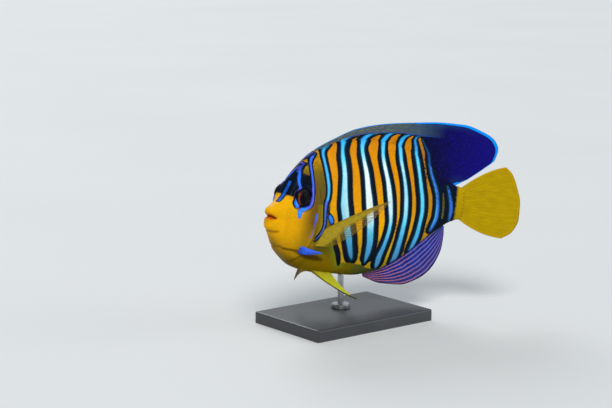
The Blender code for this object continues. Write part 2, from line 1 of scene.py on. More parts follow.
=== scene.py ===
"""Regal angelfish on a plain stand: skin, scales, fins, eyes and finishes.

The script is laid out as an add-on and is run as a script. Every piece is shaped
along a straight fish, in parts of its standard length, and then bent into the
turning pose of the solids. Metres, Z up; the snout points to -X and the fish's
left side faces -Y.
"""
import math

import bpy
import numpy as np
from bpy.props import FloatProperty, FloatVectorProperty, IntProperty, PointerProperty
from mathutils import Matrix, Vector


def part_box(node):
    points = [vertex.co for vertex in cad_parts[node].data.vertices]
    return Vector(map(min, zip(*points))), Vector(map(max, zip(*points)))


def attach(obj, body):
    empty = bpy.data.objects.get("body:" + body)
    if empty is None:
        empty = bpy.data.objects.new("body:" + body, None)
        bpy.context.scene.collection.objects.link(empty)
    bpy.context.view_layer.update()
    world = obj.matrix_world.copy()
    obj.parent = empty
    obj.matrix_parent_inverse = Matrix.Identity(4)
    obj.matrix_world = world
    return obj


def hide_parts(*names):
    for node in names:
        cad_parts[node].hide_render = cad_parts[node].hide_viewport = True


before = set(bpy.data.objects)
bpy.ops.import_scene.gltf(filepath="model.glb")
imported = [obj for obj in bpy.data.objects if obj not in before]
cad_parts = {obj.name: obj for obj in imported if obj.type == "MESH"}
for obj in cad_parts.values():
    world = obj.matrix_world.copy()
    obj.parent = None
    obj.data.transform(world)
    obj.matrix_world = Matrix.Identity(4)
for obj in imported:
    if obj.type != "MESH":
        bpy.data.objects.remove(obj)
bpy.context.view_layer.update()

bl_info = {
    "name": "Regal angelfish",
    "version": (1, 0, 0),
    "blender": (4, 5, 0),
    "location": "3D View > Sidebar > Angelfish",
    "description": "Skin, scales, fins and eyes of a regal angelfish on a stand",
    "category": "Add Mesh",
}

# The shape that the solids have too, in parts of the standard length
STANDARD_LENGTH = 0.170
RIDGE = 0.0010 / STANDARD_LENGTH
HEAD_TURN = 16.0
TAIL_TURN = -30.0
BEND_START = 0.10
BEND_END = 0.95
MIDDLE = 0.45
NOSE_UP = 3.8
LEAN = 5.0
FISH_PLACE = (-0.003, 0.003)

# Cross-sections from the mouth to the tail root: top x and z, side x and z, half
# width, bottom x and z
SECTIONS = (
    ("throat of the mouth", 0.040, 0.010, 0.057, 0.001, 0.013, 0.040, 0.006),
    ("inside of the lips", 0.030, 0.0150, 0.060, -0.001, 0.0195, 0.031, 0.0025),
    ("crest of the lips", 0.024, 0.0240, 0.060, -0.001, 0.0238, 0.024, -0.0065),
    ("front of the lips", 0.029, 0.0365, 0.063, 0.000, 0.0275, 0.026, -0.029),
    ("edge of the lips", 0.041, 0.0445, 0.069, -0.001, 0.0310, 0.034, -0.043),
    ("groove behind the lips", 0.048, 0.0470, 0.074, -0.002, 0.0325, 0.040, -0.0465),
    ("snout", 0.068, 0.0540, 0.086, -0.004, 0.0385, 0.054, -0.066),
    ("front of the eyes", 0.107, 0.0745, 0.112, -0.004, 0.0510, 0.079, -0.100),
    ("brow", 0.132, 0.104, 0.138, 0.002, 0.0655, 0.109, -0.139),
    ("middle of the eyes", 0.156, 0.138, 0.165, 0.004, 0.0752, 0.150, -0.174),
    ("nape", 0.206, 0.190, 0.212, -0.004, 0.0830, 0.203, -0.208),
    ("shoulder", 0.270, 0.236, 0.270, -0.016, 0.0880, 0.270, -0.234),
    ("chest", 0.350, 0.262, 0.350, -0.020, 0.0900, 0.350, -0.252),
    ("middle", 0.450, 0.279, 0.450, -0.016, 0.0880, 0.450, -0.265),
    ("belly", 0.550, 0.283, 0.550, -0.010, 0.0810, 0.550, -0.2755),
    ("vent", 0.650, 0.2745, 0.650, 0.000, 0.0700, 0.650, -0.257),
    ("flank", 0.750, 0.243, 0.750, 0.010, 0.0550, 0.750, -0.202),
    ("rear flank", 0.830, 0.197, 0.830, 0.020, 0.0400, 0.830, -0.135),
    ("tail stalk", 0.900, 0.148, 0.900, 0.030, 0.0280, 0.900, -0.073),
    ("narrowest", 0.950, 0.117, 0.950, 0.038, 0.0210, 0.950, -0.037),
    ("tail root", 0.985, 0.106, 0.985, 0.042, 0.0170, 0.985, -0.023),
)
BACK_POWER = (0.80, 1.25)
BACK_ROWS = (7.5, 10.5)
BELLY_POWER = 1.0
SLANT_POWER = 1.2

# The gill opening: height as an angle from the back to the belly in parts of a
# half turn, and station
GILL_EDGE = ((0.0, 0.246), (0.25, 0.249), (0.43, 0.256), (0.52, 0.251),
             (0.62, 0.232), (0.72, 0.212), (0.85, 0.176), (1.0, 0.160))

EYE_STATION = 0.171
EYE_HEIGHT = 0.076
EYE_RADIUS = 0.0066 / STANDARD_LENGTH
EYE_DEPTH = 0.0042 / STANDARD_LENGTH
EYE_BULGE = 0.0014 / STANDARD_LENGTH
EYE_LEAN = (-0.13, 0.10)
NOSTRILS = ((0.118, 0.074, 0.0052), (0.126, 0.064, 0.0044))
JAW_CREASE = ((0.094, -0.115), (0.112, -0.124), (0.140, -0.130), (0.168, -0.1345), (0.190, -0.141))
CHEEK_EDGE = (
    (0.232, 0.030), (0.229, 0.005), (0.225, -0.020), (0.219, -0.050), (0.211, -0.085), (0.200, -0.118)
)

# Folds of the skin in standard lengths: how far they stand out or in, and their width;
# the lid, its groove and the socket say between how far from the eye's axis, in radii
LID_FOLDS = ((0.0026, 1.10, 0.0050), (-0.0017, 1.42, 0.0060))
SOCKET = (0.026, 0.99, 0.0070)
COVER_RISE = (0.0038, 0.034)
COVER_STEP = (0.0026, 0.030)
JAW_FOLD = (0.0024, 0.0040)
CHIN_FOLD = (0.0010, 0.0070)
CHIN_DROP = 0.009
CHEEK_FOLD = (0.0014, 0.0046)
NOSTRIL_RIM = (0.0012, 0.0022)
NOSTRIL_HOLE = 0.0042
# How far from the middle the folds of the eyes and of the nostrils begin
EYE_SIDE = 0.03
NOSTRIL_SIDE = 0.02

SPINE_ROOT = (0.190, -0.131)
SPINE_LENGTH = 0.0218
SPINE_RADIUS = 0.0031
SPINE_SLOPE = (0.985, 0.13, -0.15)
SPINE_RISE = 0.0026
SPINE_BACK = 0.12
SPINE_FLATNESS = 0.55
SPINE_BLUNT = 0.05
SPINE_TAPER = 0.72

# Dorsal and anal fins: station at the root, and the tip's station and height
DORSAL = ((0.272, 0.290, 0.252), (0.350, 0.386, 0.286), (0.450, 0.502, 0.326), (0.560, 0.630, 0.348),
          (0.670, 0.762, 0.360), (0.750, 0.876, 0.368), (0.805, 0.962, 0.366), (0.850, 1.038, 0.345),
          (0.885, 1.094, 0.314), (0.910, 1.1145, 0.273), (0.928, 1.106, 0.2325), (0.943, 1.0625, 0.1905),
          (0.952, 1.002, 0.142))
DORSAL_SPLIT = 0.672
DORSAL_SPINES = 14
DORSAL_RAYS = 18
ANAL = ((0.598, 0.606, -0.286), (0.660, 0.690, -0.313), (0.720, 0.768, -0.316), (0.780, 0.842, -0.289),
        (0.830, 0.893, -0.243), (0.870, 0.919, -0.190), (0.895, 0.930, -0.145), (0.910, 0.932, -0.100),
        (0.922, 0.929, -0.060))
ANAL_RAYS = 21
RAY_SWEEP = 0.10
ROOT_SINK = -0.02
# Tail fin: place along the tail root from top to bottom, and the tip
CAUDAL = ((0.0, 1.158, 0.207), (0.12, 1.186, 0.182), (0.30, 1.214, 0.128), (0.50, 1.236, 0.060),
          (0.70, 1.239, -0.005), (0.88, 1.216, -0.064), (1.0, 1.176, -0.092))
CAUDAL_RAYS = 17
CAUDAL_BOW = 0.016
# Paired fins: the root's ends as stations and turns round the body, then the first
# and last ray as directions and lengths
PECTORAL_ROOT = ((0.300, 0.545), (0.255, 0.662))
PECTORAL_FIRST = ((0.672, 0.58, 0.460), 0.313)
FAR_PECTORAL_FIRST = ((0.78, 0.52, 0.35), 0.313)
PECTORAL_LAST = ((0.90, 0.42, -0.09), 0.072)
PECTORAL_RAYS = 16
PECTORAL_ARCH = 0.025
PECTORAL_REACH = 1.45
PELVIC_ROOT = ((0.300, 0.905), (0.425, 0.925))
PELVIC_FIRST = ((0.76, 0.50, -0.41), 0.245)
PELVIC_LAST = ((0.72, 0.22, -0.65), 0.135)
FAR_PELVIC_FIRST = ((0.53, 0.68, -0.48), 0.230)
FAR_PELVIC_LAST = ((0.75, 0.60, -0.25), 0.060)
PELVIC_RAYS = 6
PELVIC_REACH = 1.2
FAR_PELVIC_REACH = 7.0
PELVIC_ARCH = -0.055

# Light bars from the back down: width of the black border ahead and behind, then the
# bar's middle as station and height with its half width
BARS = (
    (0.0110, 0.0138, (
        (0.372, 0.270, 0.0018), (0.345, 0.260, 0.0034), (0.325, 0.2525, 0.0050), (0.314, 0.245, 0.0062),
        (0.3083, 0.2367, 0.0070), (0.3045, 0.2267, 0.0078), (0.3025, 0.205, 0.0080),
        (0.3033, 0.180, 0.0088), (0.3058, 0.145, 0.0096), (0.3075, 0.118, 0.0098),
        (0.3065, 0.095, 0.0092), (0.3035, 0.077, 0.0090), (0.298, 0.063, 0.0088), (0.2925, 0.054, 0.0086),
        (0.289, 0.040, 0.0086), (0.2885, 0.010, 0.0068), (0.2925, -0.025, 0.0066),
        (0.286, -0.055, 0.0060), (0.266, -0.080, 0.0050), (0.250, -0.0935, 0.0028))),
    (0.0260, 0.0310, (
        (0.500, 0.301, 0.0018), (0.462, 0.2915, 0.0050), (0.426, 0.272, 0.0090), (0.410, 0.247, 0.0092),
        (0.404, 0.215, 0.0126), (0.4045, 0.160, 0.0144), (0.4015, 0.100, 0.0182), (0.4015, 0.070, 0.0208),
        (0.4035, 0.040, 0.0236), (0.412, 0.010, 0.0232), (0.431, -0.050, 0.0205), (0.460, -0.110, 0.0180),
        (0.4725, -0.140, 0.0148), (0.488, -0.170, 0.0118), (0.500, -0.192, 0.0060))),
    (0.0255, 0.0260, (
        (0.625, 0.312, 0.0012), (0.590, 0.3075, 0.0025), (0.560, 0.300, 0.0060), (0.536, 0.286, 0.0105),
        (0.516, 0.263, 0.0108), (0.5115, 0.240, 0.0106), (0.514, 0.215, 0.0108), (0.5262, 0.160, 0.0138),
        (0.5363, 0.100, 0.0165), (0.549, 0.040, 0.0200), (0.565, -0.030, 0.0205),
        (0.5735, -0.080, 0.0190), (0.5815, -0.135, 0.0172), (0.5812, -0.170, 0.0144),
        (0.5785, -0.200, 0.0088), (0.577, -0.214, 0.0030))),
    (0.0210, 0.0200, (
        (0.715, 0.318, 0.0010), (0.680, 0.3135, 0.0020), (0.653, 0.307, 0.0055), (0.634, 0.291, 0.0105),
        (0.617, 0.260, 0.0104), (0.614, 0.225, 0.0098), (0.6205, 0.190, 0.0107), (0.639, 0.130, 0.0116),
        (0.654, 0.070, 0.0140), (0.6665, 0.010, 0.0124), (0.674, -0.045, 0.0102),
        (0.6715, -0.080, 0.0104), (0.6595, -0.140, 0.0110), (0.645, -0.200, 0.0145),
        (0.6452, -0.224, 0.0130), (0.646, -0.240, 0.0060))),
    (0.0190, 0.0180, (
        (0.775, 0.3155, 0.0010), (0.745, 0.310, 0.0022), (0.722, 0.302, 0.0060), (0.7065, 0.285, 0.0095),
        (0.6995, 0.245, 0.0100), (0.7015, 0.215, 0.0098), (0.715, 0.160, 0.0086), (0.730, 0.100, 0.0096),
        (0.739, 0.040, 0.0113), (0.7432, -0.020, 0.0115), (0.7385, -0.080, 0.0121),
        (0.7325, -0.140, 0.0128), (0.7275, -0.190, 0.0150), (0.7245, -0.215, 0.0140))),
    (0.0205, 0.0180, (
        (0.790, 0.3065, 0.0010), (0.770, 0.302, 0.0035), (0.763, 0.288, 0.0060), (0.770, 0.265, 0.0068),
        (0.7765, 0.225, 0.0086), (0.7835, 0.190, 0.0090), (0.790, 0.160, 0.0086), (0.8035, 0.100, 0.0094),
        (0.815, 0.045, 0.0100), (0.8188, 0.000, 0.0100), (0.815, -0.050, 0.0097),
        (0.8115, -0.090, 0.0110), (0.800, -0.145, 0.0115), (0.796, -0.165, 0.0110))),
    (0.0165, 0.0120, (
        (0.793, 0.296, 0.0022), (0.812, 0.262, 0.0035), (0.826, 0.240, 0.0045), (0.834, 0.205, 0.0055),
        (0.845, 0.160, 0.0064), (0.8575, 0.130, 0.0068), (0.870, 0.100, 0.0074), (0.879, 0.070, 0.0070),
        (0.886, 0.010, 0.0086), (0.8855, -0.020, 0.0090), (0.877, -0.050, 0.0085),
        (0.868, -0.075, 0.0060))),
    (0.0200, 0.0110, (
        (0.919, 0.112, 0.0035), (0.9265, 0.095, 0.0058), (0.9335, 0.070, 0.0062), (0.942, 0.040, 0.0078),
        (0.9455, 0.010, 0.0080), (0.944, -0.030, 0.0050))),
)
REAR_BAR = 6
# The borders thin out where a bar is narrower than BORDER_FULL and above BORDER_TOP
BORDER_LEAST = 0.35
BORDER_FULL = 0.008
BORDER_LOSS = 0.42
BORDER_TOP = 0.215
# Blue lines of the head as station, height, half width and share of violet
HEAD_LINES = (
    ((0.220, 0.2015, 0.0006, 0.6), (0.2115, 0.195, 0.0008, 0.6), (0.201, 0.186, 0.0010, 0.5),
     (0.194, 0.1783, 0.0013, 0.4), (0.189, 0.1717, 0.0018, 0.3), (0.1835, 0.164, 0.0023, 0.2),
     (0.178, 0.1558, 0.0028, 0.1), (0.1725, 0.148, 0.0031, 0.0), (0.1686, 0.140, 0.0035, 0.0),
     (0.1653, 0.1317, 0.0037, 0.1), (0.1636, 0.125, 0.0040, 0.3), (0.162, 0.1167, 0.0042, 0.5),
     (0.156, 0.108, 0.0042, 0.9), (0.150, 0.100, 0.0040, 1.0), (0.145, 0.090, 0.0038, 0.9),
     (0.140, 0.080, 0.0042, 0.5), (0.1365, 0.0683, 0.0066, 0.0), (0.1345, 0.0567, 0.0092, 0.0),
     (0.135, 0.048, 0.0066, 0.1)),
    ((0.278, 0.238, 0.0008, 0.4), (0.270, 0.2325, 0.0013, 0.4), (0.2617, 0.2267, 0.0019, 0.3),
     (0.253, 0.2217, 0.0024, 0.3), (0.245, 0.2125, 0.0028, 0.3), (0.239, 0.205, 0.0030, 0.3),
     (0.2345, 0.1967, 0.0033, 0.3), (0.2313, 0.185, 0.0036, 0.4), (0.229, 0.1733, 0.0040, 0.4),
     (0.2265, 0.160, 0.0043, 0.5), (0.2245, 0.1467, 0.0045, 0.5), (0.223, 0.1317, 0.0048, 0.6),
     (0.2208, 0.1167, 0.0052, 0.8), (0.2190, 0.1033, 0.0058, 0.9), (0.2167, 0.0917, 0.0070, 0.9),
     (0.215, 0.0783, 0.0068, 1.0), (0.2117, 0.0633, 0.0064, 1.0), (0.2058, 0.0517, 0.0059, 0.9),
     (0.1967, 0.0433, 0.0052, 0.9), (0.183, 0.0392, 0.0044, 0.5), (0.172, 0.0375, 0.0064, 0.1),
     (0.160, 0.0342, 0.0090, 0.0), (0.150, 0.030, 0.0104, 0.0), (0.146, 0.0233, 0.0104, 0.0),
     (0.1455, 0.0125, 0.0092, 0.1), (0.1455, 0.004, 0.0054, 0.4)),
    ((0.236, 0.0138, 0.0036, 0.7), (0.235, 0.0025, 0.0052, 0.7), (0.2338, -0.0125, 0.0048, 0.9),
     (0.2288, -0.0325, 0.0020, 1.0), (0.2263, -0.050, 0.0020, 1.0), (0.2262, -0.0625, 0.0022, 1.0),
     (0.221, -0.075, 0.0022, 1.0), (0.212, -0.084, 0.0012, 1.0)),
    ((0.318, -0.003, 0.0075, 0.1), (0.326, -0.013, 0.0105, 0.0), (0.336, -0.025, 0.0100, 0.1)),
)
# Blue line down the middle of the brow as station and height, and its half width; then
# the half width of the crest, where the lines of both sides meet
BROW_LINE = ((0.152, 0.132), (0.134, 0.106), (0.1225, 0.0905), (0.1085, 0.0755), (0.090, 0.064))
BROW_LINE_WIDTH = 0.0052
CREST_WIDTH = 0.020
# Outline of the black mask round the eyes as station and height
EYE_MASK = (
    (0.085, 0.064), (0.117, 0.086), (0.1275, 0.0815), (0.1265, 0.062), (0.1290, 0.046), (0.150, 0.0415),
    (0.195, 0.048), (0.214, 0.060), (0.2235, 0.078), (0.2285, 0.100), (0.2315, 0.130), (0.2325, 0.152),
    (0.225, 0.161), (0.206, 0.161), (0.196, 0.168), (0.184, 0.185), (0.100, 0.160), (0.030, 0.100)
)
# Dark stripe ahead of the belly as station, height and half width
BELLY_STRIPE = (
    (0.306, 0.040, 0.0040), (0.310, 0.012, 0.0060), (0.345, -0.040, 0.0100), (0.362, -0.090, 0.0120),
    (0.386, -0.130, 0.0135), (0.409, -0.160, 0.0140), (0.427, -0.190, 0.0125), (0.440, -0.215, 0.0080)
)
# Outline of the belly as station and height
BELLY_EDGE = (
    (0.10, -0.34), (0.10, -0.05), (0.20, 0.06), (0.306, 0.040), (0.310, 0.012), (0.345, -0.040),
    (0.362, -0.090), (0.386, -0.130), (0.409, -0.160), (0.427, -0.190), (0.446, -0.206), (0.505, -0.212),
    (0.560, -0.222), (0.600, -0.240), (0.660, -0.250), (0.720, -0.262), (0.72, -0.34)
)
# Olive stripe of the tail stalk, and the shadows of the jaw and of the mouth's corner,
# as station, height and half width
STALK_STRIPE = ((0.903, 0.082, 0.003), (0.909, 0.050, 0.005), (0.911, -0.020, 0.005))
SHADOWS = (((0.110, -0.124, 0.001), (0.150, -0.132, 0.002), (0.190, -0.145, 0.006), (0.230, -0.160, 0.009),
            (0.275, -0.172, 0.009), (0.330, -0.186, 0.004)),
           ((0.044, -0.050, 0.001), (0.056, -0.052, 0.0025), (0.068, -0.051, 0.001)))

# The skin: columns round it, the rows of the lips, of the first folds, of the torso and
# of the head's end with its closer spacing, and how far the mouth closes at its middle
SKIN_COLUMNS = 279
LIP_ROW = 2.0
FOLD_ROW = 3.0
TORSO_ROWS = (10.5, 18.0)
HEAD_ROWS_END = 11.0
HEAD_ROWS_WEIGHT = 1.75
MOUTH_CLOSED = 0.60
MOUTH_MIDDLE = 0.014
MERGE_GAP = 2e-6
# The maps of the skin and of the markings
CHART_STATIONS = (0.070, 0.984)
ARC_REACH = 0.36
SMALL_STEP = 0.004
FAR_AWAY = 1e3
# The scales: where they grow, their scatter, how softly a coat begins, the size of one
# on the map, and its room across, length and width in parts of the spacing
COAT_STATIONS = (0.075, 0.981)
COAT_MARGIN = 0.002
COAT_SCATTER = 0.00035
COAT_EASE = 0.016
MAP_SCALE = 0.0015
COAT_SHARES = (1.02, 1.04, 1.16)
# Half thickness of the fins in metres, at a ray's root, the web's root, a ray's tip and
# the web's tip
SPINY_THICK = (0.00090, 0.00060, 0.00034, 0.00012)
SOFT_THICK = (0.00085, 0.00062, 0.00026, 0.00010)
TAIL_THICK = (0.0011, 0.0010, 0.00022, 0.00014)
PAIRED_THICK = (0.00075, 0.00050, 0.00022, 0.00008)
# Reflections, low and soft
SKIN_GLOSS = {"coat_weight": 0.03, "coat_roughness": 0.20, "specular_ior_level": 0.05}
FIN_GLOSS = {"coat_weight": 0.02, "specular_ior_level": 0.05}
THIN_GLOSS = {"specular_ior_level": 0.1}
EYE_GLOSS = {"coat_weight": 0.05, "coat_roughness": 0.08, "specular_ior_level": 0.05}
SPINE_GLOSS = {"coat_weight": 0.1, "specular_ior_level": 0.3}

# Where the camera of the photograph stood, in degrees, metres and pixels
VIEW_TURN = -38.0
VIEW_HEIGHT = 10.0
VIEW_DISTANCE = 1.10
FOCAL_PIXELS = 1622.0
PHOTO_SIZE = (612, 408)
MIDDLE_PIXEL = (338.0, 208.9)
SENSOR = 36.0


def curve_through(xs, ys):
    """Return a smooth function through the points that never overshoots them."""
    xs = np.asarray(xs, float)
    ys = np.asarray(ys, float)
    step = np.diff(xs)
    slope = np.diff(ys) / step
    tangent = np.zeros_like(xs)
    tangent[0] = slope[0]
    tangent[-1] = slope[-1]
    for i in range(1, len(xs) - 1):
        if slope[i - 1] * slope[i] > 0:
            first = 2 * step[i] + step[i - 1]
            second = step[i] + 2 * step[i - 1]
            tangent[i] = (first + second) / (first / slope[i - 1] + second / slope[i])

    def value(x):
        x = np.clip(np.asarray(x, float), xs[0], xs[-1])
        i = np.clip(np.searchsorted(xs, x, side="right") - 1, 0, len(step) - 1)
        t = (x - xs[i]) / step[i]
        left = (1 + 2 * t) * (1 - t) ** 2 * ys[i] + t * t * (3 - 2 * t) * ys[i + 1]
        return left + step[i] * (t * (1 - t) ** 2 * tangent[i] + t * t * (t - 1) * tangent[i + 1])

    return value


def smooth_step(t):
    """Ease from 0 to 1 as t goes from 0 to 1."""
    t = np.clip(t, 0.0, 1.0)
    return t * t * (3 - 2 * t)


def bump(distance, width):
    """Return a soft hump, 1 at no distance and fading within a few widths."""
    return np.exp(-(distance / width) ** 2)


ROWS = np.arange(len(SECTIONS))
LAST_ROW = len(SECTIONS) - 1
COLUMNS = [curve_through(ROWS, [section[k] for section in SECTIONS]) for k in range(1, 8)]
TOP_X, TOP_Z, SIDE_X, SIDE_Z, HALF_WIDTH, LOW_X, LOW_Z = COLUMNS
gill_station = curve_through([p[0] for p in GILL_EDGE], [p[1] for p in GILL_EDGE])
FINE_ROWS = np.linspace(0, LAST_ROW, 1601)


def skin(row, turn):
    """Return x, half width and z of the skin; turn is 0 on the back and 1 on the belly."""
    angle = np.pi * np.asarray(turn, float)
    up = np.cos(angle)
    above = up > 0
    top_x, top_z, low_x, low_z = TOP_X(row), TOP_Z(row), LOW_X(row), LOW_Z(row)
    side_x, side_z, width = SIDE_X(row), SIDE_Z(row), HALF_WIDTH(row)
    x = side_x + (np.where(above, top_x, low_x) - side_x) * np.abs(up) ** SLANT_POWER
    z = side_z + np.where(above, top_z - side_z, side_z - low_z) * up
    fill = smooth_step((row - BACK_ROWS[0]) / (BACK_ROWS[1] - BACK_ROWS[0]))
    back = BACK_POWER[0] + (BACK_POWER[1] - BACK_POWER[0]) * fill
    power = np.where(above, back, BELLY_POWER)
    y = RIDGE + (width - RIDGE) * np.abs(np.sin(angle)) ** power
    return x, y, z


def row_at(station, turn):
    """Return the row of the skin that lies at a station, behind the lips."""
    rows = FINE_ROWS[FINE_ROWS >= LIP_ROW]
    x, _, _ = skin(rows, np.full_like(rows, turn))
    return np.interp(station, x, rows)


def top_height(station):
    """Return the height of the back at a station."""
    return np.interp(station, TOP_X(FINE_ROWS), TOP_Z(FINE_ROWS))


def low_height(station):
    """Return the height of the belly at a station."""
    return np.interp(station, LOW_X(FINE_ROWS), LOW_Z(FINE_ROWS))


def make_midline():
    """Return heading, x and y along the bent midline."""
    stations = np.linspace(-0.1, 1.5, 1601)
    ease = smooth_step((stations - BEND_START) / (BEND_END - BEND_START))
    heading = np.radians(HEAD_TURN + (TAIL_TURN - HEAD_TURN) * ease)
    step = stations[1] - stations[0]
    along = np.cumsum(np.append(0.0, (np.cos(heading[1:]) + np.cos(heading[:-1])) / 2 * step))
    across = np.cumsum(np.append(0.0, (np.sin(heading[1:]) + np.sin(heading[:-1])) / 2 * step))
    along -= np.interp(MIDDLE, stations, along)
    across -= np.interp(MIDDLE, stations, across)
    return stations, heading, along, across


MIDLINE = make_midline()


def attitude():
    """Return the turn that leans the fish and lifts its nose."""
    nose, lean = math.radians(NOSE_UP), math.radians(LEAN)
    pitch = np.array(((math.cos(nose), 0, math.sin(nose)), (0, 1, 0), (-math.sin(nose), 0, math.cos(nose))))
    roll = np.array(((1, 0, 0), (0, math.cos(lean), -math.sin(lean)), (0, math.sin(lean), math.cos(lean))))
    return pitch @ roll


ATTITUDE = attitude()


def pose(points):
    """Turn points of the straight fish, in standard lengths, into the pose, in metres."""
    stations, heading, along, across = MIDLINE
    points = np.asarray(points, float)
    angle = np.interp(points[:, 0], stations, heading)
    x = np.interp(points[:, 0], stations, along) - points[:, 1] * np.sin(angle)
    y = np.interp(points[:, 0], stations, across) + points[:, 1] * np.cos(angle)
    return np.column_stack((x, y, points[:, 2])) @ ATTITUDE.T * STANDARD_LENGTH


def find_place():
    """Return where the middle of the fish stands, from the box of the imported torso."""
    rows = np.linspace(*TORSO_ROWS, 400)
    x, y, z = skin(rows, np.zeros_like(rows))
    top = pose(np.column_stack((x, -y, z)))[:, 2].max()
    return np.array((*FISH_PLACE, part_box("torso")[1].z - top))


PLACE = find_place()


def bend(points):
    """Place points of the straight fish in the world, in metres."""
    return pose(points) + PLACE


def read_grid(tables, x, z, stations, heights):
    """Return the values of several tables between their even steps."""
    a = np.clip((x - stations[0]) / (stations[1] - stations[0]), 0, len(stations) - 1.001)
    b = np.clip((z - heights[0]) / (heights[1] - heights[0]), 0, len(heights) - 1.001)
    i, j = a.astype(int), b.astype(int)
    s, t = (a - i)[:, None], (b - j)[:, None]
    near = tables[i, j] * (1 - t) + tables[i, j + 1] * t
    far = tables[i + 1, j] * (1 - t) + tables[i + 1, j + 1] * t
    return (near * (1 - s) + far * s).T


class Chart:
    """The skin of one side as a map: station, and arc from the side's middle upward."""

    def __init__(self):
        self.stations = np.linspace(*CHART_STATIONS, 520)
        turns = np.linspace(0.0, 1.0, 241)
        shape = (len(self.stations), len(turns))
        y = np.zeros(shape)
        z = np.zeros(shape)
        for k, turn in enumerate(turns):
            rows = row_at(self.stations, turn)
            _, y[:, k], z[:, k] = skin(rows, np.full_like(rows, turn))
        arc = np.cumsum(np.hypot(np.diff(y, axis=1), np.diff(z, axis=1)), axis=1)
        arc = np.hstack((np.zeros((len(self.stations), 1)), arc))
        middle = arc[:, len(turns) // 2]
        self.arcs = np.linspace(-ARC_REACH, ARC_REACH, 601)
        self.high = middle
        self.low = middle - arc[:, -1]
        self.tables = np.zeros((len(self.stations), len(self.arcs), 3))
        for i in range(len(self.stations)):
            for k, values in enumerate((y[i], z[i], turns)):
                self.tables[i, :, k] = np.interp(-self.arcs, arc[i] - middle[i], values)

    def place(self, x, arc):
        """Return the skin's points, and the turn there."""
        y, z, turn = read_grid(self.tables, x, arc, self.stations, self.arcs)
        return np.column_stack((x, y, z)), turn

    def normal(self, x, arc):
        """Return the outward direction of the skin."""
        ahead = self.place(x + SMALL_STEP, arc)[0] - self.place(x - SMALL_STEP, arc)[0]
        over = self.place(x, arc + SMALL_STEP)[0] - self.place(x, arc - SMALL_STEP)[0]
        out = np.cross(ahead, over)
        out[out[:, 1] < 0] *= -1
        length = np.linalg.norm(out, axis=1, keepdims=True)
        return out / np.maximum(length, 1e-9)


CHART = Chart()


def side_skin(station, height):
    """Return the point of the right side's skin at a station and height."""
    turns = np.linspace(0.02, 0.98, 400)
    rows = np.array([row_at(station, turn) for turn in turns])
    _, y, z = skin(rows, turns)
    return np.array((station, float(np.interp(-height, -z, y)), height))


def eye_frame():
    """Return the centre and the outward axis of the right eye."""
    axis = np.array((EYE_LEAN[0], 1.0, EYE_LEAN[1]))
    axis /= np.linalg.norm(axis)
    return side_skin(EYE_STATION, EYE_HEIGHT) - axis * (EYE_DEPTH - EYE_BULGE), axis


EYE_CENTRE, EYE_AXIS = eye_frame()


def smooth_line(points, count=40):
    """Return many points on a smooth curve through a few, with their other values."""
    points = np.array(points, float)
    chord = np.append(0.0, np.cumsum(np.hypot(*np.diff(points[:, :2], axis=0).T)))
    fine = np.linspace(0, chord[-1], count)
    return np.column_stack([curve_through(chord, points[:, k])(fine) for k in range(points.shape[1])])


def from_line(x, z, points):
    """Return the distance from a line, the side of it, and its values at the nearest place."""
    points = np.array(points, float)
    best = np.full(x.shape, FAR_AWAY)
    side = np.zeros(x.shape)
    values = np.zeros(x.shape + (points.shape[1] - 2,))
    for start, end in zip(points[:-1], points[1:]):
        run_x, run_z = end[:2] - start[:2]
        share = np.clip(((x - start[0]) * run_x + (z - start[1]) * run_z) / (run_x ** 2 + run_z ** 2), 0, 1)
        off_x, off_z = x - start[0] - share * run_x, z - start[1] - share * run_z
        distance = np.hypot(off_x, off_z)
        closer = distance < best
        best = np.where(closer, distance, best)
        side = np.where(closer, run_x * off_z - run_z * off_x, side)
        values[closer] = start[2:] + share[closer, None] * (end[2:] - start[2:])
    return best, side, values


def band_distance(x, z, points):
    """Return the distance from a band's edge, the side of its middle, and its values."""
    distance, side, values = from_line(x, z, points)
    return distance - values[:, 0], side, values


def line_distance(x, z, points):
    """Return the distance in the side view from a line through the points."""
    return from_line(x, z, points)[0]


def patch_distance(x, z, points):
    """Return the distance from a closed outline, negative inside it."""
    inside = np.zeros(x.shape, bool)
    for (ax, az), (bx, bz) in zip(points, points[1:] + points[:1]):
        crosses = (az > z) != (bz > z)
        rise = bz - az if bz != az else 1e-9
        inside ^= crosses & (x < (bx - ax) * (z - az) / rise + ax)
    return np.where(inside, -1, 1) * line_distance(x, z, points + points[:1])


def eye_distance(points):
    """Return the distance from the near eye's axis, for points of either side."""
    folded = np.column_stack((points[:, 0], np.abs(points[:, 1]), points[:, 2])) - EYE_CENTRE
    return np.linalg.norm(folded - np.outer(folded @ EYE_AXIS, EYE_AXIS), axis=1)


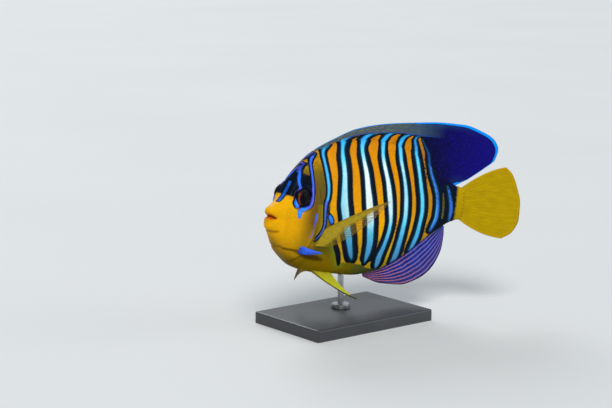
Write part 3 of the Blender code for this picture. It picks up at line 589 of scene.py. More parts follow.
def relief(points, turn):
    """Return how far the folds of the skin stand out or in, in standard lengths."""
    x, z = points[:, 0], points[:, 2]
    edge = x - gill_station(turn)
    span = smooth_step((turn - 0.30) / 0.10) * smooth_step((0.90 - turn) / 0.08)
    rise = COVER_RISE[0] * smooth_step((edge + COVER_RISE[1]) / COVER_RISE[1])
    step = COVER_STEP[0] * smooth_step(1 - edge / COVER_STEP[1])
    height = np.where(edge < 0, rise, -step) * span
    aside = np.abs(points[:, 1])
    away = eye_distance(points)
    lid = -SOCKET[0] * smooth_step((SOCKET[1] * EYE_RADIUS - away) / SOCKET[2])
    for rise, reach, width in LID_FOLDS:
        lid += rise * bump(away - reach * EYE_RADIUS, width)
    height += np.where(aside > EYE_SIDE, lid, 0)
    height -= JAW_FOLD[0] * bump(line_distance(x, z, JAW_CREASE), JAW_FOLD[1])
    height += CHIN_FOLD[0] * bump(line_distance(x, z + CHIN_DROP, JAW_CREASE), CHIN_FOLD[1])
    height -= CHEEK_FOLD[0] * bump(line_distance(x, z, CHEEK_EDGE), CHEEK_FOLD[1])
    for station, level, radius in NOSTRILS:
        hole = np.hypot(x - station, z - level)
        rim = NOSTRIL_RIM[0] * bump(hole - 1.35 * radius, NOSTRIL_RIM[1])
        height += np.where(aside > NOSTRIL_SIDE, rim - NOSTRIL_HOLE * bump(hole, 0.62 * radius), 0)
    return height


class Pattern:
    """The markings and the painted shadows as tables over the straight fish's side view, in millimetres and
    shares.
    """

    STEP = 0.0025

    def __init__(self):
        self.stations = np.arange(-0.02, 1.27, self.STEP)
        self.heights = np.arange(-0.35, 0.40, self.STEP)
        x, z = (grid.ravel() for grid in np.meshgrid(self.stations, self.heights, indexing="ij"))
        unit = STANDARD_LENGTH * 1000
        apart = np.full(x.shape, FAR_AWAY)
        shade = np.full(x.shape, FAR_AWAY)
        rear = None
        for number, (ahead, behind, points) in enumerate(BARS):
            distance, side, values = band_distance(x, z, smooth_line(points))
            thin = BORDER_LEAST + (1 - BORDER_LEAST) * smooth_step(values[:, 0] / BORDER_FULL)
            thin = thin * (1 - BORDER_LOSS * smooth_step((z - BORDER_TOP) / 0.060))
            apart = np.minimum(apart, distance)
            shade = np.minimum(shade, distance / (np.where(side > 0, behind, ahead) * thin))
            if number == REAR_BAR:
                rear = np.where(side > 0, distance, -distance - 2 * values[:, 0])
        line = np.full(x.shape, FAR_AWAY)
        violet = np.zeros(x.shape)
        for points in HEAD_LINES:
            distance, _, values = band_distance(x, z, smooth_line(points))
            violet = np.where(distance < line, values[:, 1], violet)
            line = np.minimum(line, distance)
        mask, belly = (patch_distance(x, z, outline) for outline in (EYE_MASK, BELLY_EDGE))
        stripe = band_distance(x, z, smooth_line(BELLY_STRIPE))[0]
        stalk = band_distance(x, z, smooth_line(STALK_STRIPE))[0]
        shadow = np.minimum.reduce([band_distance(x, z, smooth_line(points))[0] for points in SHADOWS])
        brow = line_distance(x, z, BROW_LINE)
        fields = (apart * unit, shade, rear * unit, line * unit, violet, mask * unit, belly * unit,
                  stripe * unit, stalk * unit, shadow * unit, brow)
        self.tables = np.stack(fields, axis=-1).reshape(len(self.stations), len(self.heights), -1)

    def read(self, x, z):
        """Return every marking at places of the side view."""
        return read_grid(self.tables, x, z, self.stations, self.heights)


PATTERN = Pattern()
BAND_EDGE = curve_through([0.27, 0.358, 0.466, 0.55, 0.62, 0.695, 0.80, 1.20],
                          [0.236, 0.262, 0.291, 0.3055, 0.3095, 0.3125, 0.306, 0.30])


def write_marks(mesh, points):
    """Keep the markings on a mesh, read at its places on the straight fish."""
    x, z = points[:, 0], points[:, 2]
    apart, shade, rear, line, violet, mask, belly, stripe, stalk, shadow, brow = PATTERN.read(x, z)
    crest = 1 - smooth_step(np.abs(points[:, 1]) / CREST_WIDTH)
    far = points[:, 1] > 0
    # The lines thin out over the crest, and widen on its far side behind the nape
    thinner = np.where(x < 0.218, 0.10 + 0.20 * far, -0.45 * far)
    line = line + crest * smooth_step((x - 0.15) / 0.03) * thinner
    violet = np.clip(violet + 0.7 * far * crest, 0, 1)
    brow = (np.hypot(brow, points[:, 1] * 0.9) - BROW_LINE_WIDTH) * STANDARD_LENGTH * 1000
    violet = np.where(brow < line, 0.0, violet)
    line = np.minimum(line, brow)
    gold = 1 - smooth_step((x + 0.30 * np.maximum(-z - 0.04, 0) * (z > -0.13) - 0.124) / 0.100)
    write_field(mesh, "FishPlace", points)
    write_field(mesh, "BarMarks", np.column_stack((apart, shade, rear)))
    write_field(mesh, "HeadMarks", np.column_stack((line, violet, mask)))
    write_field(mesh, "ZoneMarks", np.column_stack((gold, belly, stripe)))
    write_field(mesh, "SmallMarksAndShadow", np.column_stack((stalk, shadow, np.abs(points[:, 1]))))


def read_points(mesh):
    """Return a mesh's vertices as an array."""
    points = np.zeros(len(mesh.vertices) * 3)
    mesh.vertices.foreach_get("co", points)
    return points.reshape(-1, 3)


def write_points(mesh, points):
    """Move a mesh's vertices."""
    mesh.vertices.foreach_set("co", np.ascontiguousarray(points, dtype=np.float32).ravel())
    mesh.update()


def write_field(mesh, name, values):
    """Keep a vector for each vertex under a name."""
    field = mesh.attributes.new(name, "FLOAT_VECTOR", "POINT")
    field.data.foreach_set("vector", np.ascontiguousarray(values, dtype=np.float32).ravel())


def read_field(mesh, name):
    """Return the vector kept for each vertex."""
    values = np.zeros(len(mesh.vertices) * 3)
    mesh.attributes[name].data.foreach_get("vector", values)
    return values.reshape(-1, 3)


def grid_piece(name, columns, rows, shape):
    """Add a grid, shape it with shape(u, v) and close it where its sides meet.

    u and v run from 0 to 1; the pair is kept on each vertex as GridPlace.
    """
    bpy.ops.object.select_all(action="DESELECT")
    bpy.ops.mesh.primitive_grid_add(x_subdivisions=columns, y_subdivisions=rows, size=2)
    thing = bpy.context.object
    thing.name = thing.data.name = name
    flat = read_points(thing.data)
    u, v = (flat[:, 0] + 1) / 2, (flat[:, 1] + 1) / 2
    write_points(thing.data, shape(u, v))
    write_field(thing.data, "GridPlace", np.column_stack((u, v, np.zeros_like(u))))
    return close_piece(thing)


def face_outward(merge=False):
    """Turn the active piece's faces outward; merge the corners that meet first if asked."""
    bpy.ops.object.mode_set(mode="EDIT")
    bpy.ops.mesh.select_all(action="SELECT")
    if merge:
        bpy.ops.mesh.remove_doubles(threshold=MERGE_GAP)
    bpy.ops.mesh.normals_make_consistent(inside=False)
    bpy.ops.object.mode_set(mode="OBJECT")


def select_only(thing):
    """Make a piece the active and only selected one."""
    bpy.ops.object.select_all(action="DESELECT")
    thing.select_set(True)
    bpy.context.view_layer.objects.active = thing


def close_piece(thing):
    """Merge the corners that meet, turn the faces outward and drop the grid's own map."""
    face_outward(merge=True)
    while thing.data.uv_layers:
        thing.data.uv_layers.remove(thing.data.uv_layers[0])
    return thing


def settle(thing, slot_name, *nodes, angle=None):
    """Shade a finished piece smooth and let it ride on the model in place of its nodes."""
    select_only(thing)
    if angle:
        bpy.ops.object.shade_smooth_by_angle(angle=math.radians(angle))
    else:
        bpy.ops.object.shade_smooth()
    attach(thing, "root")
    if nodes:
        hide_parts(*nodes)


class Wire:
    """A value in a node tree, with arithmetic that adds Math nodes."""

    def __init__(self, paint, socket):
        self.paint = paint
        self.socket = socket

    def calc(self, operation, *values):
        """Return the result of a Math node on the value."""
        return self.paint.node("ShaderNodeMath", {"operation": operation}, self, *values)

    def __add__(self, other):
        return self.calc("ADD", other)

    __radd__ = __add__

    def __sub__(self, other):
        return self.calc("SUBTRACT", other)

    def __rsub__(self, other):
        return self.calc("MULTIPLY", -1.0).calc("ADD", other)

    def __mul__(self, other):
        return self.calc("MULTIPLY", other)

    __rmul__ = __mul__

    def __truediv__(self, other):
        return self.calc("DIVIDE", other)

    def clamp(self):
        """Keep the value between 0 and 1."""
        return self.calc("MAXIMUM", 0.0).calc("MINIMUM", 1.0)

    def over(self, edge, soft):
        """Go from 0 to 1 where the value passes an edge, over a soft width."""
        return ((self - (edge - soft / 2)) * (1.0 / soft)).clamp()

    def under(self, edge, soft):
        """Go from 1 to 0 where the value passes an edge, over a soft width."""
        return 1.0 - self.over(edge, soft)

    def wave(self, turns):
        """Return a sine of the value, between -1 and 1."""
        return (self * (2 * math.pi * turns)).calc("SINE")


class Paint:
    """A material whose nodes are added one call at a time."""

    def __init__(self, name):
        self.material = bpy.data.materials.new(name)
        self.material.use_nodes = True
        self.tree = self.material.node_tree
        self.shader = self.tree.nodes["Principled BSDF"]

    def node(self, kind, settings, *values, output=0):
        """Add a node with settings and socket values or links, and return one output."""
        made = self.tree.nodes.new(kind)
        for key, value in settings.items():
            setattr(made, key, value)
        for index, value in enumerate(values):
            self.feed(made.inputs[index], value)
        return Wire(self, made.outputs[output])

    def feed(self, socket, value):
        """Link a wire to a socket, or set the socket's own value."""
        if isinstance(value, Wire):
            self.tree.links.new(value.socket, socket)
        elif value is not None:
            socket.default_value = value

    def field(self, name):
        """Return a named field as a vector."""
        return self.node("ShaderNodeAttribute", {"attribute_name": name}, output=1)

    def parts(self, vector):
        """Return a vector's three numbers."""
        made = self.tree.nodes.new("ShaderNodeSeparateXYZ")
        self.feed(made.inputs[0], vector)
        return [Wire(self, socket) for socket in made.outputs]

    def scaled(self, vector, factors):
        """Return a vector times three factors."""
        return self.node("ShaderNodeVectorMath", {"operation": "MULTIPLY"}, vector, factors)

    def noise(self, vector, scale, detail):
        """Return soft noise between 0 and 1."""
        made = self.tree.nodes.new("ShaderNodeTexNoise")
        self.feed(made.inputs["Vector"], vector)
        made.inputs["Scale"].default_value = scale
        made.inputs["Detail"].default_value = detail
        return Wire(self, made.outputs["Fac"])

    def cells(self, vector, scale, randomness):
        """Return the distance to the nearest cell's middle."""
        made = self.tree.nodes.new("ShaderNodeTexVoronoi")
        self.feed(made.inputs["Vector"], vector)
        made.inputs["Scale"].default_value = scale
        made.inputs["Randomness"].default_value = randomness
        return Wire(self, made.outputs["Distance"])

    def mix(self, first, second, share):
        """Return a colour between two colours."""
        made = self.tree.nodes.new("ShaderNodeMix")
        made.data_type = "RGBA"
        self.feed(made.inputs[0], share)
        self.feed(made.inputs[6], first)
        self.feed(made.inputs[7], second)
        return Wire(self, made.outputs[2])

    def layers(self, coat, *coats):
        """Return a coat with others laid over it in order, each given as a colour and its share."""
        for colour, share in coats:
            coat = self.mix(coat, colour, share)
        return coat

    def finish(self, colour, roughness, height=None, depth=0.0002, strength=0.5, **constants):
        """Join colour, roughness and relief to the shader; constants set its own sockets."""
        self.feed(self.shader.inputs["Base Color"], colour)
        self.feed(self.shader.inputs["Roughness"], roughness)
        if height is not None:
            made = self.tree.nodes.new("ShaderNodeBump")
            made.inputs["Strength"].default_value = strength
            made.inputs["Distance"].default_value = depth
            self.feed(made.inputs["Height"], height)
            self.tree.links.new(made.outputs["Normal"], self.shader.inputs["Normal"])
        for key, value in constants.items():
            self.feed(self.shader.inputs[key.replace("_", " ").title().replace("Ior", "IOR")], value)
        return self.material


def tone(red, green, blue):
    """Return a linear colour from the usual 0 to 255 values."""
    linear = []
    for value in (red, green, blue):
        share = value / 255
        linear.append(share / 12.92 if share <= 0.04045 else ((share + 0.055) / 1.055) ** 2.4)
    return (*linear, 1.0)


def colour_property(name, description, red, green, blue):
    """Return a colour property with a default."""
    return FloatVectorProperty(name=name, description=description, subtype="COLOR", size=4, min=0.0, max=1.0,
                               default=tone(red, green, blue))


class FishColours(bpy.types.PropertyGroup):
    """Colours of the fish and its stand."""

    gold: colour_property("Gold", "Snout, lips and cheek", 224, 164, 0)
    chin: colour_property("Chin", "Underside of the head and breast", 132, 108, 0)
    orange: colour_property("Orange", "Broad stripes between the bars", 226, 148, 4)
    amber: colour_property("Amber", "Lower ends of the orange stripes", 248, 182, 0)
    black: colour_property("Black", "Borders of the bars", 4, 19, 33)
    teal: colour_property("Teal", "Rim of the borders", 8, 74, 104)
    white: colour_property("White", "Middle of the light bars", 238, 254, 250)
    cyan: colour_property("Cyan", "Light bars between their ends and their middle", 104, 222, 252)
    sky: colour_property("Sky", "Ends of the light bars", 44, 172, 250)
    blue: colour_property("Blue", "Lines of the head", 26, 116, 248)
    violet: colour_property("Violet", "Violet parts of those lines", 84, 82, 222)
    olive: colour_property("Olive", "Gill cover and the fin along the back", 94, 82, 26)
    belly: colour_property("Belly", "Belly behind the gills", 104, 104, 22)
    mask: colour_property("Mask", "Mask round the eyes", 2, 12, 30)
    navy: colour_property("Navy", "Rear lobe of the fin along the back", 10, 6, 92)
    azure: colour_property("Azure", "Margin of the fin along the back", 0, 140, 250)
    anal: colour_property("Anal", "Ground of the anal fin", 34, 62, 164)
    copper: colour_property("Copper", "Lines of the anal fin", 214, 118, 62)
    mustard: colour_property("Mustard", "Tail fin", 180, 148, 0)
    lime: colour_property("Lime", "Pelvic fins", 184, 188, 16)
    # The mouth's own red-brown, painted lighter to make up for the shade inside the mouth
    mouth: colour_property("Mouth", "Inside of the mouth", 176, 82, 14)
    iris: colour_property("Iris", "Ring of the eye", 124, 46, 18)


class FishSizes(bpy.types.PropertyGroup):
    """Sizes of the skin, the coat and the fins."""

    skin_depth: FloatProperty(name="Skin depth", description="How far the skin lies inside the solids",
                              default=0.0003, unit="LENGTH")
    scale_pitch: FloatProperty(name="Scale spacing", description="From one scale to the next along the side",
                               default=0.00265, unit="LENGTH")
    scale_rise: FloatProperty(name="Scale rise", description="How far a scale's free edge stands off",
                              default=0.00024, unit="LENGTH")
    cheek_pitch: FloatProperty(name="Cheek scale spacing", description="Spacing of the head's small scales",
                               default=0.0014, unit="LENGTH")
    ray_width: FloatProperty(name="Ray width", description="Share of the web that a ray takes", default=0.30,
                             subtype="FACTOR", min=0.1, max=0.9)
    skin_rows: IntProperty(name="Skin rows", description="Rows of faces along the skin", default=250)


def colours():
    """Return the colour settings."""
    return bpy.context.scene.fish_colours


def sizes():
    """Return the size settings."""
    return bpy.context.scene.fish_sizes


def marked_colour(paint):
    """Return the fish's own markings as a colour, with painted shadows along the jaw and under the lip and
    painted shade on the head's underside, from the fields on the piece.
    """
    hue = colours()
    place = paint.field("FishPlace")
    x, _, z = paint.parts(place)
    apart, shade, rear = paint.parts(paint.field("BarMarks"))
    line, violet, mask = paint.parts(paint.field("HeadMarks"))
    gold, belly, stripe = paint.parts(paint.field("ZoneMarks"))
    stalk, shadow, lateral = paint.parts(paint.field("SmallMarksAndShadow"))
    ragged = paint.noise(paint.scaled(place, (1.0, 0.6, 0.55)), 95.0, 2.0) - 0.5
    broad = paint.noise(place, 16.0, 3.0)
    fine = paint.noise(place, 210.0, 2.0)
    dark_end = paint.layers(
        hue.black,
        (tone(8, 8, 58), z.over(0.10, 0.05)),
        (tone(96, 92, 40), stalk.under(0.0, 0.5) * 0.9))
    ground = paint.layers(
        hue.orange,
        (hue.amber, z.under(0.04, 0.24)),
        (tone(200, 172, 22), z.under(-0.15, 0.14) * 0.85),
        (tone(190, 118, 8), z.over(0.245, 0.10) * 0.75),
        (tone(136, 100, 26), x.over(0.79, 0.16) * 0.60),
        (tone(172, 96, 4), fine.under(0.42, 0.3) * 0.22),
        (dark_end, rear.over(0.3, 0.4)))
    whiteness = x.over(0.37, 0.20) * x.under(0.80, 0.36)
    whiteness = whiteness * (z.under(0.235, 0.11) * z.over(-0.085, 0.17)) + (broad - 0.5) * 0.14
    light = paint.layers(
        hue.sky,
        (hue.cyan, (whiteness * 2.0).clamp()),
        (hue.white, (whiteness * 2.0 - 1.0).clamp()),
        (tone(92, 162, 206), z.under(-0.12, 0.16) * 0.85),
        (tone(38, 92, 224), (x.over(0.755, 0.05) * z.over(0.25, 0.04)) * 0.8),
        (tone(56, 158, 216), apart.over(-0.75, 0.7) * 0.55),
        (tone(56, 82, 222), rear.over(-1.8, 0.6) * 0.80),
        (tone(88, 106, 232), z.under(0.0615, 0.008) * x.under(0.312, 0.01)))
    rim = paint.mix(hue.black, hue.teal, shade.under(0.10, 0.34) * 0.85)
    body = paint.mix(rim, ground, (shade + ragged * 0.10).over(1.0, 0.20))
    body = paint.mix(light, body, (apart + ragged * 0.4).over(-0.4, 0.6))
    streak = paint.noise(paint.scaled(place, (1.0, 1.0, 0.16)), 120.0, 2.0)
    gill = paint.layers(
        hue.olive,
        (tone(124, 104, 12), z.over(0.160, 0.05)),
        (tone(196, 138, 2), z.over(0.195, 0.05)),
        (tone(120, 86, 12), (streak.over(0.52, 0.2) * 0.55).clamp()),
        (tone(128, 104, 10), z.under(-0.02, 0.14) * 0.6))
    before = paint.mix(body, gill, shade.over(1.0, 0.16))
    chest = paint.layers(
        tone(140, 118, 4),
        (hue.belly, x.over(0.48, 0.16)),
        (tone(112, 100, 2), (z.under(-0.10, 0.04) * z.over(-0.17, 0.05)) * x.under(0.40, 0.1) * 0.8),
        (tone(148, 116, 0), (z.under(-0.175, 0.05) * x.under(0.47, 0.12)) * 0.85),
        (tone(66, 84, 52), x.over(0.56, 0.10) * 0.8),
        (tone(128, 148, 30), (stripe.under(2.4, 4.4) * z.under(-0.06, 0.06)) * 0.8))
    brown = paint.layers(
        tone(132, 98, 10),
        (tone(98, 72, 20), broad.over(0.45, 0.35)),
        (tone(172, 134, 0), z.under(-0.055, 0.07) * 0.8))
    head = paint.layers(
        brown,
        (hue.gold, (gold + (broad - 0.5) * 0.28).clamp()),
        (gill, x.over(0.236, 0.014) * z.over(-0.10, 0.06)),
        (gill, z.over(0.165, 0.03) * x.over(0.17, 0.05)),
        (hue.chin, (z + x * 0.12).under(-0.135, 0.05) * 0.9),
        # Painted shade on the head's underside, darkest along its middle
        (tone(96, 78, 14), lateral.under(0.03, 0.05) * z.under(-0.08, 0.05) * 0.7))
    blue = paint.layers(
        hue.blue,
        (hue.violet, violet),
        (tone(84, 176, 255), line.under(-0.75, 0.7) * 0.45))
    halo = (z.over(0.035, 0.02) + x.over(0.300, 0.01) * z.under(0.03, 0.02)).clamp()
    return paint.layers(
        body,
        (before, (x - z * 0.10).under(0.285, 0.004)),
        (gill, (x.under(0.318, 0.006) * z.under(0.045, 0.03)) * apart.over(0.5, 0.4)),
        (chest, (belly + ragged * 1.4).under(0.0, 1.0)),
        (hue.black, (stripe + ragged * 0.5).under(0.0, 0.5) * apart.over(0.5, 0.4)),
        (head, (x - z * 0.02).under(0.246, 0.02) * apart.over(0.3, 0.3)),
        (tone(70, 44, 4), (shadow + ragged).under(0.3, 1.8) * 0.85),
        (before, apart.under(1.3, 0.3) * x.under(0.36, 0.01)),
        (hue.mask, (mask + ragged * 0.9 + (broad - 0.5) * 0.8).under(0.0, 1.2)),
        (hue.mustard, (x + ragged * 0.012).over(0.964, 0.010)),
        (hue.mask, (line + ragged * 0.4).under(0.95, 0.40) * halo),
        (blue, (line + ragged * 0.5).under(0.0, 0.45)))


def skin_material():
    """Paint the bare skin: lips, mouth, mask and the ground under the scales, with painted shade along the
    creases and behind the gill cover's edge, and the inside of the mouth painted lighter against its shade.
    """
    paint = Paint("angelfish skin")
    hue = colours()
    coat = marked_colour(paint)
    place = paint.field("FishPlace")
    row, _, crease_shade = paint.parts(paint.field("SkinFormAndShade"))
    coat = paint.layers(
        coat,
        # Inside of the mouth: its own red-brown, painted lighter against the shade in it
        (hue.mouth, row.under(1.55, 0.5)),
        (tone(176, 96, 4), (row.under(2.4, 0.9) * row.over(1.4, 0.4)) * 0.4),
        # Painted shade along the skin's creases and just behind the gill cover's edge
        (tone(70, 44, 6), crease_shade.clamp() * 0.55))
    grain = paint.noise(place, 420.0, 3.0) + paint.noise(place, 90.0, 2.0) * 0.6
    rough = 0.34 + paint.noise(place, 60.0, 2.0) * 0.16
    return paint.finish(coat, rough, grain, depth=0.00012, strength=0.50, **SKIN_GLOSS)


def scale_material():
    """Paint the scales with the skin's markings, a darker free edge, painted shade at the root under the
    scale ahead, some darker scales at random and growth rings.
    """
    paint = Paint("angelfish scales")
    coat = marked_colour(paint)
    along, across, chance = paint.parts(paint.field("ScaleForm"))
    # Painted shade at each scale's root, where the scale ahead overlaps it; the free edge and some scales at
    # random are darker too
    shade = (along.over(0.93, 0.10) * 0.13) + (along.under(0.30, 0.35) * 0.15) + chance * 0.10
    coat = paint.mix(coat, tone(14, 13, 12), shade)
    rings = (along * along + across * across * 0.5).wave(5.0) * 0.5 + 0.5
    rough = 0.33 + chance * 0.10
    return paint.finish(coat, rough, rings, depth=0.00003, strength=0.30, **SKIN_GLOSS)


def fold_side(u):
    """Turn u, round the whole body, into a side and a turn from back to belly."""
    half = (SKIN_COLUMNS - 1) / 2
    index = np.round(u * (SKIN_COLUMNS + 1))
    left = index <= half
    step = np.where(left, index, SKIN_COLUMNS - index) / half
    step = np.where(index > SKIN_COLUMNS, 0, step)
    even = 2 * np.clip(step, 0, 1) - 1
    turn = 0.5 + 0.5 * np.sign(even) * np.abs(even) ** 1.10
    side = np.where(left | (index > SKIN_COLUMNS), -1, 1)
    return side, turn


def even_rows(count):
    """Return rows of the skin that lie evenly along it, closer on the head."""
    rows = FINE_ROWS
    reach = np.zeros(len(rows) - 1)
    for turn in (0.0, 0.25, 0.5, 0.75, 1.0):
        points = np.column_stack(skin(rows, np.full_like(rows, turn)))
        reach = np.maximum(reach, np.linalg.norm(np.diff(points, axis=0), axis=1))
    weight = np.where(rows[:-1] < HEAD_ROWS_END, HEAD_ROWS_WEIGHT, 1.0)
    total = np.append(0.0, np.cumsum(reach * weight))
    return np.interp(np.linspace(0, total[-1], count + 1), total, rows)


def lip_height(row, turn, y, z):
    """Close the mouth toward its middle, so that its gap is a lens seen from the side."""
    middle = SIDE_Z(row) + ((TOP_Z(row) + LOW_Z(row)) / 2 - SIDE_Z(row)) * np.abs(np.cos(np.pi * turn))
    closed = MOUTH_CLOSED * smooth_step((LIP_ROW - row) / 0.9) * (1 - smooth_step(y / MOUTH_MIDDLE))
    return middle + (z - middle) * (1 - closed)


class OBJECT_OT_fish_skin(bpy.types.Operator):
    """Model the one skin of head, body and tail stalk, with its folds and mouth"""

    bl_idname = "object.fish_skin"
    bl_label = "Skin"

    def execute(self, context):
        size = sizes()
        rows = even_rows(size.skin_rows)

        def shape(u, v):
            side, turn = fold_side(u)
            row = rows[np.round(v * size.skin_rows).astype(int)]
            x, y, z = skin(row, turn)
            return np.column_stack((x, side * y, lip_height(row, turn, y, z)))

        thing = grid_piece("fish_skin", SKIN_COLUMNS + 1, size.skin_rows, shape)
        place = read_field(thing.data, "GridPlace")
        _, turn = fold_side(place[:, 0])
        row = rows[np.round(place[:, 1] * size.skin_rows).astype(int)]
        straight = read_points(thing.data)
        for end in (0, LAST_ROW):
            bpy.ops.object.mode_set(mode="EDIT")
            bpy.ops.mesh.select_mode(type="VERT")
            bpy.ops.mesh.select_all(action="DESELECT")
            bpy.ops.object.mode_set(mode="OBJECT")
            thing.data.vertices.foreach_set("select", np.isclose(row, end))
            bpy.ops.object.mode_set(mode="EDIT")
            bpy.ops.mesh.edge_face_add()
        face_outward()
        normals = np.zeros(len(thing.data.vertices) * 3)
        thing.data.vertex_normals.foreach_get("vector", normals)
        normals = normals.reshape(-1, 3)
        outer = smooth_step((row - FOLD_ROW) / 1.5)
        height = relief(straight, turn) * outer - size.skin_depth / STANDARD_LENGTH
        folded = straight + normals * height[:, None]
        write_marks(thing.data, straight)
        # Painted shade: the skin darkens along the jaw crease, along the cheek's edge and just behind the
        # gill cover's edge
        crease = bump(line_distance(straight[:, 0], straight[:, 2], JAW_CREASE), 0.0052)
        crease += bump(line_distance(straight[:, 0], straight[:, 2], CHEEK_EDGE), 0.004) * 0.5
        edge = straight[:, 0] - gill_station(turn)
        crease += bump(edge - 0.004, 0.006) * smooth_step((turn - 0.3) / 0.1) * 0.8
        write_field(thing.data, "SkinFormAndShade", np.column_stack((row, turn, crease)))
        write_points(thing.data, bend(folded))
        thing.data.materials.append(skin_material())
        settle(thing, "torso_skin", "head", "torso", "tail_stalk")
        return {"FINISHED"}


def scale_template():
    """Return the corners of one scale as along, across and lift, and its faces.

    The top is a small shield with a round rear edge; the underside is plain.
    """
    cross = (-1.0, -0.62, 0.0, 0.62, 1.0)
    rear = (0.56, 0.86, 1.0, 0.86, 0.56)
    corners = []
    for part, lift in ((-0.36, -0.9), (0.22, 0.25), (0.74, 0.80), (1.0, 1.0)):
        for k in range(5):
            along = part if part < 0 else part * rear[k]
            width = cross[k] * (0.82 if part < 0 else 1.0 - 0.10 * max(part - 0.74, 0) / 0.26)
            crown = 0.34 * (1 - cross[k] ** 2)
            corners.append((along, width, lift * (0.62 + crown) if part > 0 else lift))
    for k in range(5):
        corners.append((rear[k] * 0.98, cross[k] * 0.90, -0.35))
    faces = []
    for i in range(4):
        for k in range(4):
            a = i * 5 + k
            faces.append((a, a + 1, a + 6, a + 5))
    faces.append((0, 5, 10, 15, 20))
    faces.append((4, 24, 19, 14, 9))
    faces.append((20, 21, 22, 23, 24, 4, 3, 2, 1, 0))
    return np.array(corners), faces


def scale_roots(step, rise, keep, seed):
    """Return the roots of a staggered coat as stations and arcs, where keep says so."""
    chance = np.random.default_rng(seed)
    places = []
    stations = np.arange(*COAT_STATIONS, step / 2)
    for column, station in enumerate(stations):
        low, high = (np.interp(station, CHART.stations, ends) for ends in (CHART.low, CHART.high))
        arcs = np.arange(-ARC_REACH, ARC_REACH, rise) + (rise / 2 if column % 2 else 0)
        arcs = arcs[(arcs > low + COAT_MARGIN) & (arcs < high - COAT_MARGIN)]
        places += [(station, arc) for arc in arcs]
    places = np.array(places)
    points, turn = CHART.place(places[:, 0], places[:, 1])
    chosen = keep(points, turn)
    places = places[chosen]
    places = places + chance.normal(0, COAT_SCATTER, places.shape)
    return places, chance.random(len(places))


def scale_coat(name, side, roots, chance, length, width, rise, rooted):
    """Build one closed mesh of scales that lie on the folded skin.

    rooted(points, turn) is how firmly a coat stands on the skin: 0 where it has sunk in.
    """
    template, shapes = scale_template()
    count, corners = len(roots), len(template)
    along, across, lift = np.tile(template, (count, 1)).T
    root = np.repeat(roots, corners, axis=0)
    x = root[:, 0] + along * length
    arc = root[:, 1] + across * width * 0.5
    points, turn = CHART.place(x, arc)
    lift = lift * rise + (rooted(points, turn) - 1) * rise * 1.3
    height = relief(points, turn) + lift - sizes().skin_depth / STANDARD_LENGTH
    straight = points * (1, side, 1)
    outward = CHART.normal(x, arc) * (1, side, 1)
    faces = [tuple(base + k for k in face) for base in range(0, count * corners, corners) for face in shapes]
    mesh = bpy.data.meshes.new(name)
    mesh.from_pydata(bend(straight + outward * height[:, None]).tolist(), [], faces)
    thing = bpy.data.objects.new(name, mesh)
    bpy.context.scene.collection.objects.link(thing)
    write_marks(mesh, straight)
    write_field(mesh, "ScaleForm", np.column_stack((along, across, np.repeat(chance, corners))))
    bake = mesh.uv_layers.new(name="OFBake")
    loops = np.zeros(len(mesh.loops), int)
    mesh.loops.foreach_get("vertex_index", loops)
    u = 0.02 + 0.96 * (root[:, 0] - 0.07) / 0.92 + along * MAP_SCALE
    v = 0.5 + root[:, 1] / 0.74 + across * MAP_SCALE
    bake.data.foreach_set("uv", np.column_stack((u[loops], v[loops])).astype(np.float32).ravel())
    select_only(thing)
    face_outward()
    return thing


def on_body(points, turn):
    """Say where the large scales of the body grow."""
    return points[:, 0] > gill_station(turn) + 0.006


def body_rooted(points, turn):
    """Return how far the body's coat has risen behind the gill opening."""
    return smooth_step((points[:, 0] - gill_station(turn) - 0.004) / COAT_EASE)


def cheek_room(points, turn):
    """Return the distance inside the edge of the cheek's coat, negative outside it."""
    x, z = points[:, 0], points[:, 2]
    eye_room = eye_distance(points) - EYE_RADIUS * 1.40
    gill_room = gill_station(turn) - 0.008 - x
    front = x - (0.082 - 0.35 * np.minimum(z + 0.060, 0.0) + 0.60 * np.maximum(z - 0.02, 0.0))
    behind = x - 0.185
    top = np.minimum(0.215 - z, (turn - 0.06) * 0.3)
    open_side = np.where(z < 0.045, front, behind)
    crease = line_distance(x, z, JAW_CREASE) - 0.005
    return np.minimum.reduce((eye_room, gill_room, open_side, top, crease, z + 0.150, (0.93 - turn) * 0.3))


def on_cheek(points, turn):
    """Say where the small scales of the cheek and gill cover grow."""
    return cheek_room(points, turn) > 0


def cheek_rooted(points, turn):
    """Return how far the cheek's coat has risen from its edge."""
    return smooth_step(cheek_room(points, turn) / COAT_EASE)


class OBJECT_OT_fish_scales(bpy.types.Operator):
    """Lay the scales of the body and the small ones of the cheeks over the skin"""

    bl_idname = "object.fish_scales"
    bl_label = "Scales"

    def execute(self, context):
        size = sizes()
        finish = scale_material()
        rise = size.scale_rise / STANDARD_LENGTH
        coats = (("scales_body_", "torso_skin", size.scale_pitch, rise, on_body, body_rooted, 11),
                 ("scales_cheek_", "head_skin", size.cheek_pitch, rise * 0.5, on_cheek, cheek_rooted, 21))
        for side, letter in ((-1, "L"), (1, "R")):
            for name, slot_name, pitch, lift, keep, rooted, seed in coats:
                across, length, width = (pitch / STANDARD_LENGTH * share for share in COAT_SHARES)
                roots, chance = scale_roots(pitch / STANDARD_LENGTH, across, keep, seed + side)
                coat = scale_coat(name + letter, side, roots, chance, length, width, lift, rooted)
                coat.data.materials.append(finish)
                settle(coat, slot_name, angle=50)
        return {"FINISHED"}


def ray_profile(s, t, rays, split_at, width):
    """Return 0 on the web and 1 on a ray, which parts into branches beyond split_at."""
    phase = (s * rays) % 1.0
    single = bump(phase - 0.5, width * 0.55)
    double = np.maximum(bump(phase - 0.31, width * 0.33), bump(phase - 0.69, width * 0.33))
    if split_at is None:
        return single
    share = smooth_step((t - split_at) / 0.18)
    return single * (1 - share) + double * share


